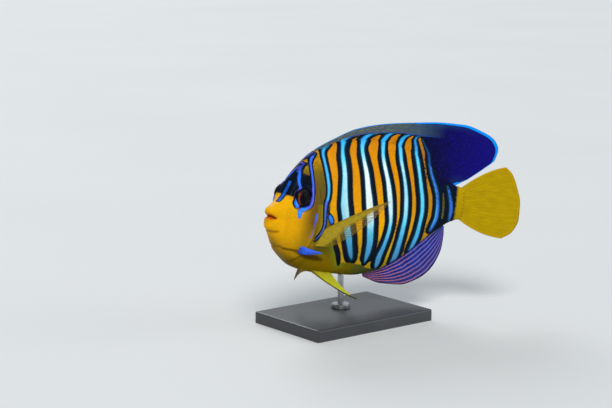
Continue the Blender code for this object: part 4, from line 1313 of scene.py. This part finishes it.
def fin_piece(name, rays, per_ray, rows, place, across, thick, split_at, margin):
    """Model a fin as one closed sheet, thicker at its rays, and keep its fields.

    place(s, t) is the middle of the web and across(s, t) its side direction, in
    standard lengths; thick holds the half thickness at a ray's root, the web's
    root, a ray's tip and the web's tip, in metres.
    """
    columns = rays * per_ray

    def outward(v):
        t = 1 - np.abs(2 * v - 1)
        sunk = np.round(t * rows) == 0
        return np.where(sunk, ROOT_SINK, (t * rows - 1) / (rows - 1)), sunk

    def shape(s, v):
        t, sunk = outward(v)
        face = np.where(v < 0.5, 1.0, -1.0)
        ray = ray_profile(s, t, rays, split_at, sizes().ray_width)
        thin = (1 - np.clip(t, 0, 1)) ** 1.3
        on_ray = thick[2] + (thick[0] - thick[2]) * thin
        on_web = thick[3] + (thick[1] - thick[3]) * thin
        half = (on_web + (on_ray - on_web) * ray) / STANDARD_LENGTH
        closed = sunk | (t >= 1 - 1e-9) | (s <= 1e-9) | (s >= 1 - 1e-9)
        half = np.where(closed, 0.0, half)
        return place(s, t) + across(s, t) * (face * half)[:, None]

    thing = grid_piece(name, columns, 2 * rows, shape)
    grid = read_field(thing.data, "GridPlace")
    s, t = grid[:, 0], np.clip(outward(grid[:, 1])[0], 0, 1)
    straight = read_points(thing.data)
    tips = place(s, np.ones_like(t))
    reach = np.linalg.norm(tips - straight, axis=1)
    edge = np.minimum(reach, margin(s, t)) * STANDARD_LENGTH * 1000
    write_marks(thing.data, straight)
    ray = ray_profile(s, t, rays, split_at, sizes().ray_width)
    write_field(thing.data, "FinForm", np.column_stack((s, t, ray)))
    band = (straight[:, 2] - BAND_EDGE(straight[:, 0])) * STANDARD_LENGTH * 1000
    write_field(thing.data, "FinEdge", np.column_stack((edge, band, np.zeros_like(edge))))
    write_points(thing.data, bend(straight))
    return thing


def no_margin(s, t):
    """Return a distance so large that a fin's sides keep no margin of their own."""
    return np.full(s.shape, 1.0)


def last_ray_margin(place):
    """Return a function that gives the distance from a fin's last ray."""
    def margin(s, t):
        t = np.clip(t, 0, 1)
        return np.linalg.norm(place(s, t) - place(np.ones_like(s), t), axis=1)

    return margin


def sideways(s, t):
    """Return the side direction of an unpaired fin."""
    return np.column_stack((np.zeros_like(s), np.ones_like(s), np.zeros_like(s)))


def tip_curves(table):
    """Return the station and the height of a fin's tips as functions of the first column."""
    places = [row[0] for row in table]
    return (curve_through(places, [row[k] for row in table]) for k in (1, 2))


def median_place(table, span, root_height, away):
    """Return the middle of the web of a fin on the back or the belly."""
    tip_x, tip_z = tip_curves(table)

    def place(s, t):
        root = span[0] + (span[1] - span[0]) * s
        base_z = root_height(root) - away * 0.004
        reach_x, reach_z = tip_x(root) - root, tip_z(root) - base_z
        x = root + reach_x * t + RAY_SWEEP * reach_x * (t * t - t)
        return np.column_stack((x, np.zeros_like(x), base_z + reach_z * t))

    return place


def caudal_place(s, t):
    """Return the middle of the web of the tail fin."""
    tip_x, tip_z = (curve(s) for curve in tip_curves(CAUDAL))
    root_x = SECTIONS[-1][1] - 0.006
    high, low = SECTIONS[-1][2] - 0.002, SECTIONS[-1][7] + 0.002
    root_z = high + (low - high) * s
    z = root_z + (tip_z - root_z) * t + CAUDAL_BOW * 4 * t * (1 - t) * (1 - 2 * s)
    return np.column_stack((root_x + (tip_x - root_x) * t, np.zeros_like(s), z))


def paired_place(side, root, first, last, bow, reach_power):
    """Return the middle and the side direction of the web of a paired fin."""
    start, end = (np.array(ray[0]) / np.linalg.norm(ray[0]) for ray in (first, last))
    shares = np.linspace(0, 1, 65)
    near, far = np.array(root)
    seats = []
    for share in shares:
        station, turn = near + (far - near) * share
        seats.append(np.array(skin(row_at(station, turn), turn)).ravel())
    seats = np.array(seats)

    def place(s, t):
        heading = start + (end - start) * s[:, None]
        heading /= np.linalg.norm(heading, axis=1, keepdims=True)
        length = last[1] + (first[1] - last[1]) * (1 - s) ** reach_power
        seat = np.column_stack([np.interp(s, shares, seats[:, k]) for k in range(3)])
        point = seat + heading * (length * t)[:, None]
        point[:, 2] += bow * length * 4 * t * (1 - t)
        point[:, 1] *= side
        return point

    def across(s, t):
        small = 0.02
        s = np.clip(s, small, 1 - small)
        t = np.clip(t, small, 1 - small)
        along = place(s, t + small) - place(s, t - small)
        chord = place(s + small, t) - place(s - small, t)
        out = np.cross(along, chord)
        return out / np.linalg.norm(out, axis=1, keepdims=True)

    return place, across


def fin_relief(paint):
    """Return rays, joints and fine grain of a fin as a height."""
    _, t, ray = paint.parts(paint.field("FinForm"))
    joints = (t.wave(34.0) * 0.5 + 0.5) * ray
    return ray * 0.7 + joints * 0.25 + paint.noise(paint.field("FishPlace"), 380.0, 2.0) * 0.25


def band_colour(paint, coat, band, edge, x):
    """Lay the streaked olive band of the back's fin over its bars."""
    place = paint.field("FishPlace")
    grain = paint.noise(place, 60.0, 3.0)
    streaks = (edge + (paint.noise(place, 14.0, 2.0) - 0.5) * 2.4).wave(0.62) * 0.5 + 0.5
    thread = (edge + (paint.noise(place, 9.0, 1.0) - 0.5) * 1.6).wave(0.42)
    olive = paint.layers(
        tone(58, 70, 64),
        (tone(136, 140, 104), streaks),
        (tone(30, 66, 128), thread.over(0.55, 0.3) * x.under(0.66, 0.1) * 0.75),
        (tone(58, 78, 92), grain.over(0.52, 0.3) * 0.7),
        (tone(40, 72, 104), x.over(0.70, 0.22) * 0.85),
        (tone(24, 66, 158), (band.over(0.0, 0.3) * band.under(0.75, 0.4)) * x.over(0.44, 0.05) * 0.7))
    return paint.mix(coat, olive, band.over(0.0, 0.4))


def spiny_material():
    """Paint the fin along the back: bars below, an olive band and a thin blue edge."""
    paint = Paint("spiny dorsal fin")
    x, _, _ = paint.parts(paint.field("FishPlace"))
    _, _, ray = paint.parts(paint.field("FinForm"))
    edge, band, _ = paint.parts(paint.field("FinEdge"))
    coat = band_colour(paint, marked_colour(paint), band, edge, x)
    coat = paint.layers(
        coat,
        (tone(58, 56, 34), ray * 0.14),
        (tone(20, 38, 84), edge.under(1.35, 0.3) * 0.6),
        (tone(66, 150, 226), edge.under(0.85, 0.3)))
    return paint.finish(coat, 0.36, fin_relief(paint), depth=0.00018, strength=0.5, **FIN_GLOSS)


def soft_material():
    """Paint the rear lobe: bars at the root, navy with rows of dots, an azure edge."""
    paint = Paint("soft dorsal fin")
    hue = colours()
    place = paint.field("FishPlace")
    x, _, z = paint.parts(place)
    edge, band, _ = paint.parts(paint.field("FinEdge"))
    _, _, rear = paint.parts(paint.field("BarMarks"))
    coat = band_colour(paint, marked_colour(paint), band, edge, x)
    grain = paint.noise(place, 34.0, 3.0)
    dots = paint.cells(paint.scaled(place, (1.0, 0.0, 1.0)), 190.0, 0.55).under(0.26, 0.24)
    navy = paint.layers(
        hue.navy,
        (tone(5, 5, 40), grain.over(0.55, 0.4) * 0.8),
        (tone(18, 10, 124), x.over(0.98, 0.16) * 0.6),
        (tone(6, 10, 40), rear.under(9.0, 12.0) * 0.8),
        (tone(26, 58, 100), (edge.under(5.0, 5.0) * x.under(0.96, 0.16)) * 0.75),
        (tone(40, 30, 168), dots * 0.50 * edge.over(3.0, 3.0)))
    share = (rear.over(2.0, 1.2) * z.under(0.29, 0.02) + x.over(0.835, 0.11)).clamp()
    coat = paint.layers(
        coat,
        (navy, share),
        (tone(3, 8, 44), (edge.under(2.3, 0.7) * x.over(0.80, 0.1)) * 0.85),
        (hue.azure, (edge - x.over(0.86, 0.2) * 0.6).under(1.45, 0.4)))
    return paint.finish(coat, 0.38, fin_relief(paint), depth=0.00015, strength=0.35, **FIN_GLOSS)


def anal_material():
    """Paint the anal fin: thin copper lines on blue, with a dark edge."""
    paint = Paint("anal fin")
    hue = colours()
    place = paint.field("FishPlace")
    s, t, _ = paint.parts(paint.field("FinForm"))
    edge, _, _ = paint.parts(paint.field("FinEdge"))
    wavy = paint.noise(paint.scaled(place, (1.0, 0.0, 1.0)), 20.0, 2.0)
    lines = (t + (wavy - 0.5) * 0.07 + s * 0.10).wave(7.4)
    ground = paint.layers(
        hue.anal,
        (tone(24, 44, 128), wavy.over(0.5, 0.3)),
        (tone(62, 60, 132), t.over(0.62, 0.3) * 0.7),
        (tone(40, 96, 150), s.under(0.10, 0.30) * t.under(0.25, 0.3)))
    stroke = paint.mix(hue.copper, tone(112, 100, 176), s.over(0.38, 0.55) * 0.9)
    coat = paint.layers(
        ground,
        (stroke, lines.over(0.62, 0.30) * 0.95),
        (tone(12, 20, 62), lines.under(-0.80, 0.3) * 0.6),
        (tone(40, 62, 96), (s.over(0.90, 0.10) * t.under(0.35, 0.3)) * 0.7),
        (tone(18, 16, 54), edge.under(0.8, 0.4) * 0.9))
    return paint.finish(coat, 0.38, fin_relief(paint), depth=0.00018, strength=0.5, **FIN_GLOSS)


def tail_material():
    """Paint the tail fin mustard, with fine rays and a warmer edge."""
    paint = Paint("tail fin")
    hue = colours()
    place = paint.field("FishPlace")
    s, t, ray = paint.parts(paint.field("FinForm"))
    edge, _, _ = paint.parts(paint.field("FinEdge"))
    grain = paint.noise(paint.scaled(place, (0.4, 0.4, 1.0)), 46.0, 3.0)
    coat = paint.layers(
        hue.mustard,
        (tone(156, 130, 0), grain.over(0.5, 0.35) * 0.7),
        (tone(194, 160, 4), ray * 0.06),
        (tone(190, 152, 2), edge.under(1.2, 1.0) * 0.6),
        (tone(196, 152, 4), s.under(0.02, 0.05) * 0.6),
        (tone(196, 152, 4), s.over(0.98, 0.05) * 0.6),
        (tone(150, 112, 4), t.under(0.04, 0.07) * 0.6))
    return paint.finish(coat, 0.42, fin_relief(paint), depth=0.00009, strength=0.25, **FIN_GLOSS)


def pectoral_material():
    """Paint the pectoral fins as a thin mustard web that lets some light through, with a painted highlight
    along the rays.
    """
    paint = Paint("pectoral fin")
    s, t, ray = paint.parts(paint.field("FinForm"))
    grain = paint.noise(paint.field("FishPlace"), 70.0, 3.0)
    web_end = (s * -1.3 + 0.92).calc("MAXIMUM", s * 0.16 + 0.47)
    loose = (t - web_end).over(-0.03, 0.22)
    coat = paint.layers(
        tone(172, 148, 20),
        (tone(146, 126, 28), grain.over(0.5, 0.4)),
        # Painted highlight along the rays
        (tone(198, 168, 60), ray * 0.35),
        (tone(176, 138, 84), (t.over(0.78, 0.2) * s.under(0.45, 0.3)) * 0.7),
        (tone(72, 60, 18), (ray * loose) * s.over(0.15, 0.3) * 0.8),
        (tone(120, 100, 10), s.under(0.04, 0.06) * 0.6))
    solid = (loose * (ray * 0.44 - 0.90) + 1.0).clamp()
    made = paint.finish(coat, 0.42, fin_relief(paint), depth=0.00014, strength=0.5, **THIN_GLOSS)
    paint.feed(paint.shader.inputs["Alpha"], solid)
    return made


def pelvic_material():
    """Paint the pelvic fins lime yellow with a dark leading ray, and the far fin painted lighter against the
    shade it sits in.
    """
    paint = Paint("pelvic fin")
    hue = colours()
    s, t, ray = paint.parts(paint.field("FinForm"))
    _, y, _ = paint.parts(paint.field("FishPlace"))
    grain = paint.noise(paint.field("FishPlace"), 60.0, 3.0)
    coat = paint.layers(
        hue.lime,
        (tone(160, 160, 20), grain.over(0.5, 0.4)),
        (tone(206, 206, 70), ray * 0.4),
        (tone(150, 118, 0), t.under(0.12, 0.3) * 0.5),
        # Painted light: the far fin, which sits in shade, is painted lighter and warmer
        (tone(196, 150, 12), y.over(0.035, 0.02) * s.under(0.55, 0.3) * 0.9),
        (tone(92, 74, 16), s.under(0.10, 0.10) * 0.8),
        (tone(40, 44, 78), s.under(0.035, 0.05) * t.over(0.45, 0.3) * y.under(0.03, 0.02) * 0.9))
    return paint.finish(coat, 0.40, fin_relief(paint), depth=0.00016, strength=0.5, **THIN_GLOSS)


class OBJECT_OT_fish_fins(bpy.types.Operator):
    """Model the fins with their spines, branched rays and thin webs"""

    bl_idname = "object.fish_fins"
    bl_label = "Fins"

    def execute(self, context):
        place = median_place(DORSAL, (DORSAL[0][0], DORSAL_SPLIT), top_height, 1)
        self.add("dorsal_spiny", "dorsal_fin_spiny", spiny_material(), DORSAL_SPINES, 12, 18, place, sideways,
                 SPINY_THICK, None, no_margin)
        place = median_place(DORSAL, (DORSAL_SPLIT, DORSAL[-1][0]), top_height, 1)
        self.add("dorsal_soft", "dorsal_fin_soft", soft_material(), DORSAL_RAYS, 10, 34, place, sideways,
                 SOFT_THICK, 0.42, last_ray_margin(place))
        place = median_place(ANAL, (ANAL[0][0], ANAL[-1][0]), low_height, -1)
        self.add("anal", "anal_fin", anal_material(), ANAL_RAYS, 10, 26, place, sideways,
                 SOFT_THICK, 0.42, no_margin)
        self.add("tail", "caudal_fin", tail_material(), CAUDAL_RAYS, 12, 34, caudal_place, sideways,
                 TAIL_THICK, 0.40, no_margin)
        finish = pectoral_material()
        for side, letter, first in ((-1, "L", PECTORAL_FIRST), (1, "R", FAR_PECTORAL_FIRST)):
            web = paired_place(side, PECTORAL_ROOT, first, PECTORAL_LAST, PECTORAL_ARCH, PECTORAL_REACH)
            self.add("pectoral_" + letter, "pectoral_fin_" + letter, finish, PECTORAL_RAYS, 10, 26, *web,
                     PAIRED_THICK, 0.45, no_margin)
        finish = pelvic_material()
        near = (PELVIC_FIRST, PELVIC_LAST, PELVIC_REACH)
        far = (FAR_PELVIC_FIRST, FAR_PELVIC_LAST, FAR_PELVIC_REACH)
        for side, letter, (first, last, reach) in ((-1, "L", near), (1, "R", far)):
            web = paired_place(side, PELVIC_ROOT, first, last, PELVIC_ARCH, reach)
            self.add("pelvic_" + letter, "pelvic_fin_" + letter, finish, PELVIC_RAYS, 16, 26, *web,
                     PAIRED_THICK, 0.35, no_margin)
        return {"FINISHED"}

    def add(self, name, node, finish, *form):
        """Model a fin in its own finish, in place of its node."""
        fin = fin_piece(name, *form)
        fin.data.materials.append(finish)
        settle(fin, node + "_skin", node)


def eye_material():
    """Paint the eye: a deep pupil, a dark iris with a fiery front and a wet film."""
    paint = Paint("angelfish eye")
    hue = colours()
    radius, front, _ = paint.parts(paint.field("EyeForm"))
    place = paint.field("FishPlace")
    grain = paint.noise(place, 300.0, 3.0)
    ahead = (front / radius.calc("MAXIMUM", 0.01) + (grain - 0.5) * 0.3).over(0.70, 0.30)
    ring = radius.over(0.74, 0.04) * radius.under(0.88, 0.05)
    coat = paint.layers(
        tone(3, 4, 8),
        (tone(14, 14, 26), radius.over(0.62, 0.02)),
        (tone(24, 24, 42), (grain.over(0.58, 0.2) * radius.over(0.70, 0.04)) * 0.6),
        (tone(40, 26, 24), ring * 0.4),
        (hue.iris, ring * ahead * 0.9),
        (tone(7, 8, 22), radius.over(0.94, 0.05)))
    return paint.finish(coat, 0.30, None, **EYE_GLOSS)


class OBJECT_OT_fish_eyes(bpy.types.Operator):
    """Turn the two eyes and set them in their sockets"""

    bl_idname = "object.fish_eyes"
    bl_label = "Eyes"

    def execute(self, context):
        finish = eye_material()
        helper = np.array((1.0, 0.0, 0.0))
        forward = helper - EYE_AXIS * (helper @ EYE_AXIS)
        forward /= np.linalg.norm(forward)
        upward = np.cross(forward, EYE_AXIS)
        for side, letter in ((-1, "L"), (1, "R")):
            bpy.ops.object.select_all(action="DESELECT")
            bpy.ops.mesh.primitive_uv_sphere_add(segments=96, ring_count=48, radius=1.0)
            thing = bpy.context.object
            thing.name = thing.data.name = "eyeball_" + letter
            ball = read_points(thing.data)
            radius = np.hypot(ball[:, 0], ball[:, 1])
            dish = 1.0 - 0.10 * bump(radius - 0.74, 0.13) * (ball[:, 2] > 0)
            local = (np.outer(ball[:, 0] * EYE_RADIUS, forward) + np.outer(ball[:, 1] * EYE_RADIUS, upward)
                     + np.outer(ball[:, 2] * EYE_DEPTH * dish, EYE_AXIS))
            straight = (EYE_CENTRE + local) * (1, side, 1)
            write_field(thing.data, "EyeForm", np.column_stack((radius, -ball[:, 0], ball[:, 1])))
            write_field(thing.data, "FishPlace", straight)
            write_points(thing.data, bend(straight))
            close_piece(thing)
            thing.data.materials.append(finish)
            settle(thing, "eye_" + letter + "_surface", "eye_" + letter)
        return {"FINISHED"}


def spine_material():
    """Paint the cheek spines a clean blue, with painted shade toward the root where they meet the cheek."""
    paint = Paint("cheek spine")
    _, along, _ = paint.parts(paint.field("GridPlace"))
    grain = paint.noise(paint.field("FishPlace"), 120.0, 3.0)
    coat = paint.layers(
        tone(24, 78, 214),
        (tone(52, 106, 236), grain.over(0.5, 0.4)),
        # Painted shade at the root, where the spine meets the cheek
        (tone(14, 40, 120), along.under(0.08, 0.16) * 0.8))
    return paint.finish(coat, 0.34, grain, depth=0.00008, strength=0.4, **SPINE_GLOSS)


class OBJECT_OT_fish_spines(bpy.types.Operator):
    """Draw the backward spine at the corner of each cheek"""

    bl_idname = "object.fish_spines"
    bl_label = "Cheek spines"

    def execute(self, context):
        finish = spine_material()
        station, level = SPINE_ROOT
        root = side_skin(station, level)
        ahead = side_skin(station + SMALL_STEP, level) - side_skin(station - SMALL_STEP, level)
        over = side_skin(station, level + SMALL_STEP) - side_skin(station, level - SMALL_STEP)
        normal = np.cross(over, ahead)
        normal /= np.linalg.norm(normal)
        normal *= np.sign(normal[1])
        along = np.array(SPINE_SLOPE) / np.linalg.norm(SPINE_SLOPE)
        upright = np.cross(along, normal)
        upright /= np.linalg.norm(upright)
        outward = np.cross(upright, along)
        outward *= np.sign(outward @ normal)
        unit = 1 / STANDARD_LENGTH
        for side, letter in ((-1, "L"), (1, "R")):

            def shape(u, part):
                turn = 2 * np.pi * np.where(u > 1 - 1e-6, 0, u)
                blunt = np.sqrt(np.clip(part / SPINE_BLUNT, 0, 1))
                radius = SPINE_RADIUS * blunt * (1 - part) ** SPINE_TAPER
                radius = radius * (1 - 0.10 * np.maximum(np.cos(turn - 0.6), 0) ** 6)
                centre = root + np.outer(part - SPINE_BACK, along) * SPINE_LENGTH * unit
                centre += np.outer(SPINE_RISE * smooth_step(part / 0.34) - 0.0009, outward) * unit
                rim = np.outer(np.cos(turn), upright) + np.outer(np.sin(turn), outward) * SPINE_FLATNESS
                return (centre + rim * (radius * unit)[:, None]) * (1, side, 1)

            thing = grid_piece("cheek_spine_" + letter, 32, 60, shape)
            straight = read_points(thing.data)
            write_field(thing.data, "FishPlace", straight)
            write_points(thing.data, bend(straight))
            thing.data.materials.append(finish)
            settle(thing, "head_skin")
        return {"FINISHED"}


class OBJECT_OT_fish_stand(bpy.types.Operator):
    """Finish the plain stand: dark satin base and brushed steel rod"""

    bl_idname = "object.fish_stand"
    bl_label = "Stand"

    def execute(self, context):
        paint = Paint("stand satin")
        place = paint.node("ShaderNodeTexCoord", {}, output=3)
        speck = paint.noise(place, 2600.0, 2.0)
        cloud = paint.noise(place, 22.0, 3.0)
        coat = paint.mix(tone(44, 46, 50), tone(58, 60, 64), cloud.over(0.5, 0.5))
        paint.finish(coat, 0.36 + cloud * 0.12, speck, depth=0.00004, strength=0.35)
        self.repaint("stand_base", paint.material)
        paint = Paint("stand steel")
        place = paint.node("ShaderNodeTexCoord", {}, output=3)
        brushed = paint.noise(paint.scaled(place, (1.0, 1.0, 0.02)), 6000.0, 2.0)
        coat = paint.mix(tone(186, 188, 192), tone(150, 152, 156), brushed)
        paint.finish(coat, 0.24 + brushed * 0.16, brushed, depth=0.00001, strength=0.3, metallic=1.0)
        self.repaint("stand_rod", paint.material)
        return {"FINISHED"}

    def repaint(self, node, finish):
        """Give a solid of the stand its own finish."""
        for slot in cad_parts[node].material_slots:
            slot.material = finish


class SCENE_OT_fish_stage(bpy.types.Operator):
    """Lay the pale floor, hang the soft lights and set up the camera"""

    bl_idname = "scene.fish_stage"
    bl_label = "Stage"

    def execute(self, context):
        bpy.ops.object.select_all(action="DESELECT")
        bpy.ops.mesh.primitive_plane_add(size=40.0)
        floor = context.object
        floor.name = floor.data.name = "floor"
        paint = Paint("studio floor")
        cloud = paint.noise(paint.node("ShaderNodeTexCoord", {}, output=3), 3.0, 2.0)
        paint.finish(paint.mix(tone(214, 216, 216), tone(206, 209, 210), cloud), 0.75)
        floor.data.materials.append(paint.material)
        world = bpy.data.worlds.new("studio")
        world.use_nodes = True
        world.node_tree.nodes["Background"].inputs["Color"].default_value = tone(222, 230, 238)
        world.node_tree.nodes["Background"].inputs["Strength"].default_value = 0.50
        context.scene.world = world
        context.scene.view_settings.view_transform = "Standard"
        self.add_light("key", (-0.55, -0.85, 1.00), 24.0, 2.3, (1.0, 0.97, 0.93))
        self.add_light("fill", (0.90, -0.75, 0.45), 40.0, 0.55, (0.94, 0.97, 1.0))
        self.add_light("rim", (0.35, 0.95, 0.70), 30.0, 0.9, (0.96, 0.98, 1.0))
        self.add_camera(context.scene)
        return {"FINISHED"}

    def add_light(self, name, place, spread, power, colour):
        """Hang one wide, far light that faces the fish."""
        bpy.ops.object.light_add(type="SUN", location=place)
        lamp = bpy.context.object
        lamp.name = lamp.data.name = name
        lamp.data.angle = math.radians(spread)
        lamp.data.energy = power
        lamp.data.color = colour
        lamp.rotation_euler = Vector(place).to_track_quat("Z", "Y").to_euler()

    def add_camera(self, scene):
        """Stand the camera where the photograph was taken from."""
        turn, height = math.radians(VIEW_TURN), math.radians(VIEW_HEIGHT)
        level = math.cos(height)
        back = Vector((math.sin(turn) * level, -math.cos(turn) * level, math.sin(height)))
        right = Vector((math.cos(turn), math.sin(turn), 0.0))
        up = back.cross(right)
        pixel = VIEW_DISTANCE / FOCAL_PIXELS
        aside = (MIDDLE_PIXEL[0] - PHOTO_SIZE[0] / 2) * pixel
        below = (MIDDLE_PIXEL[1] - PHOTO_SIZE[1] / 2) * pixel
        bpy.ops.object.camera_add(location=Vector(PLACE) + back * VIEW_DISTANCE - right * aside + up * below)
        camera = bpy.context.object
        camera.name = camera.data.name = "camera"
        camera.rotation_euler = back.to_track_quat("Z", "Y").to_euler()
        camera.data.sensor_width = SENSOR
        camera.data.lens = SENSOR * FOCAL_PIXELS / PHOTO_SIZE[0]
        camera.data.clip_start = 0.05
        camera.data.clip_end = 100.0
        scene.camera = camera


class VIEW3D_PT_fish(bpy.types.Panel):
    """List the fish's sizes, colours and steps in the sidebar"""

    bl_idname = "VIEW3D_PT_fish"
    bl_label = "Angelfish"
    bl_space_type = "VIEW_3D"
    bl_region_type = "UI"
    bl_category = "Angelfish"

    def draw(self, context):
        for group in (context.scene.fish_sizes, context.scene.fish_colours):
            for key in group.__annotations__:
                self.layout.prop(group, key)
        for step in STEPS:
            self.layout.operator(step.bl_idname)


STEPS = (OBJECT_OT_fish_skin, OBJECT_OT_fish_scales, OBJECT_OT_fish_fins, OBJECT_OT_fish_eyes,
         OBJECT_OT_fish_spines, OBJECT_OT_fish_stand, SCENE_OT_fish_stage)
CLASSES = (FishColours, FishSizes) + STEPS + (VIEW3D_PT_fish,)


def register():
    """Register the add-on's classes and settings."""
    for cls in CLASSES:
        bpy.utils.register_class(cls)
    bpy.types.Scene.fish_colours = PointerProperty(type=FishColours)
    bpy.types.Scene.fish_sizes = PointerProperty(type=FishSizes)


def unregister():
    """Remove the add-on's classes and settings."""
    del bpy.types.Scene.fish_sizes
    del bpy.types.Scene.fish_colours
    for cls in reversed(CLASSES):
        bpy.utils.unregister_class(cls)


def main():
    """Make every piece in order."""
    register()
    bpy.ops.object.fish_skin()
    bpy.ops.object.fish_scales()
    bpy.ops.object.fish_fins()
    bpy.ops.object.fish_eyes()
    bpy.ops.object.fish_spines()
    bpy.ops.object.fish_stand()
    bpy.ops.scene.fish_stage()


if __name__ == "__main__":
    main()
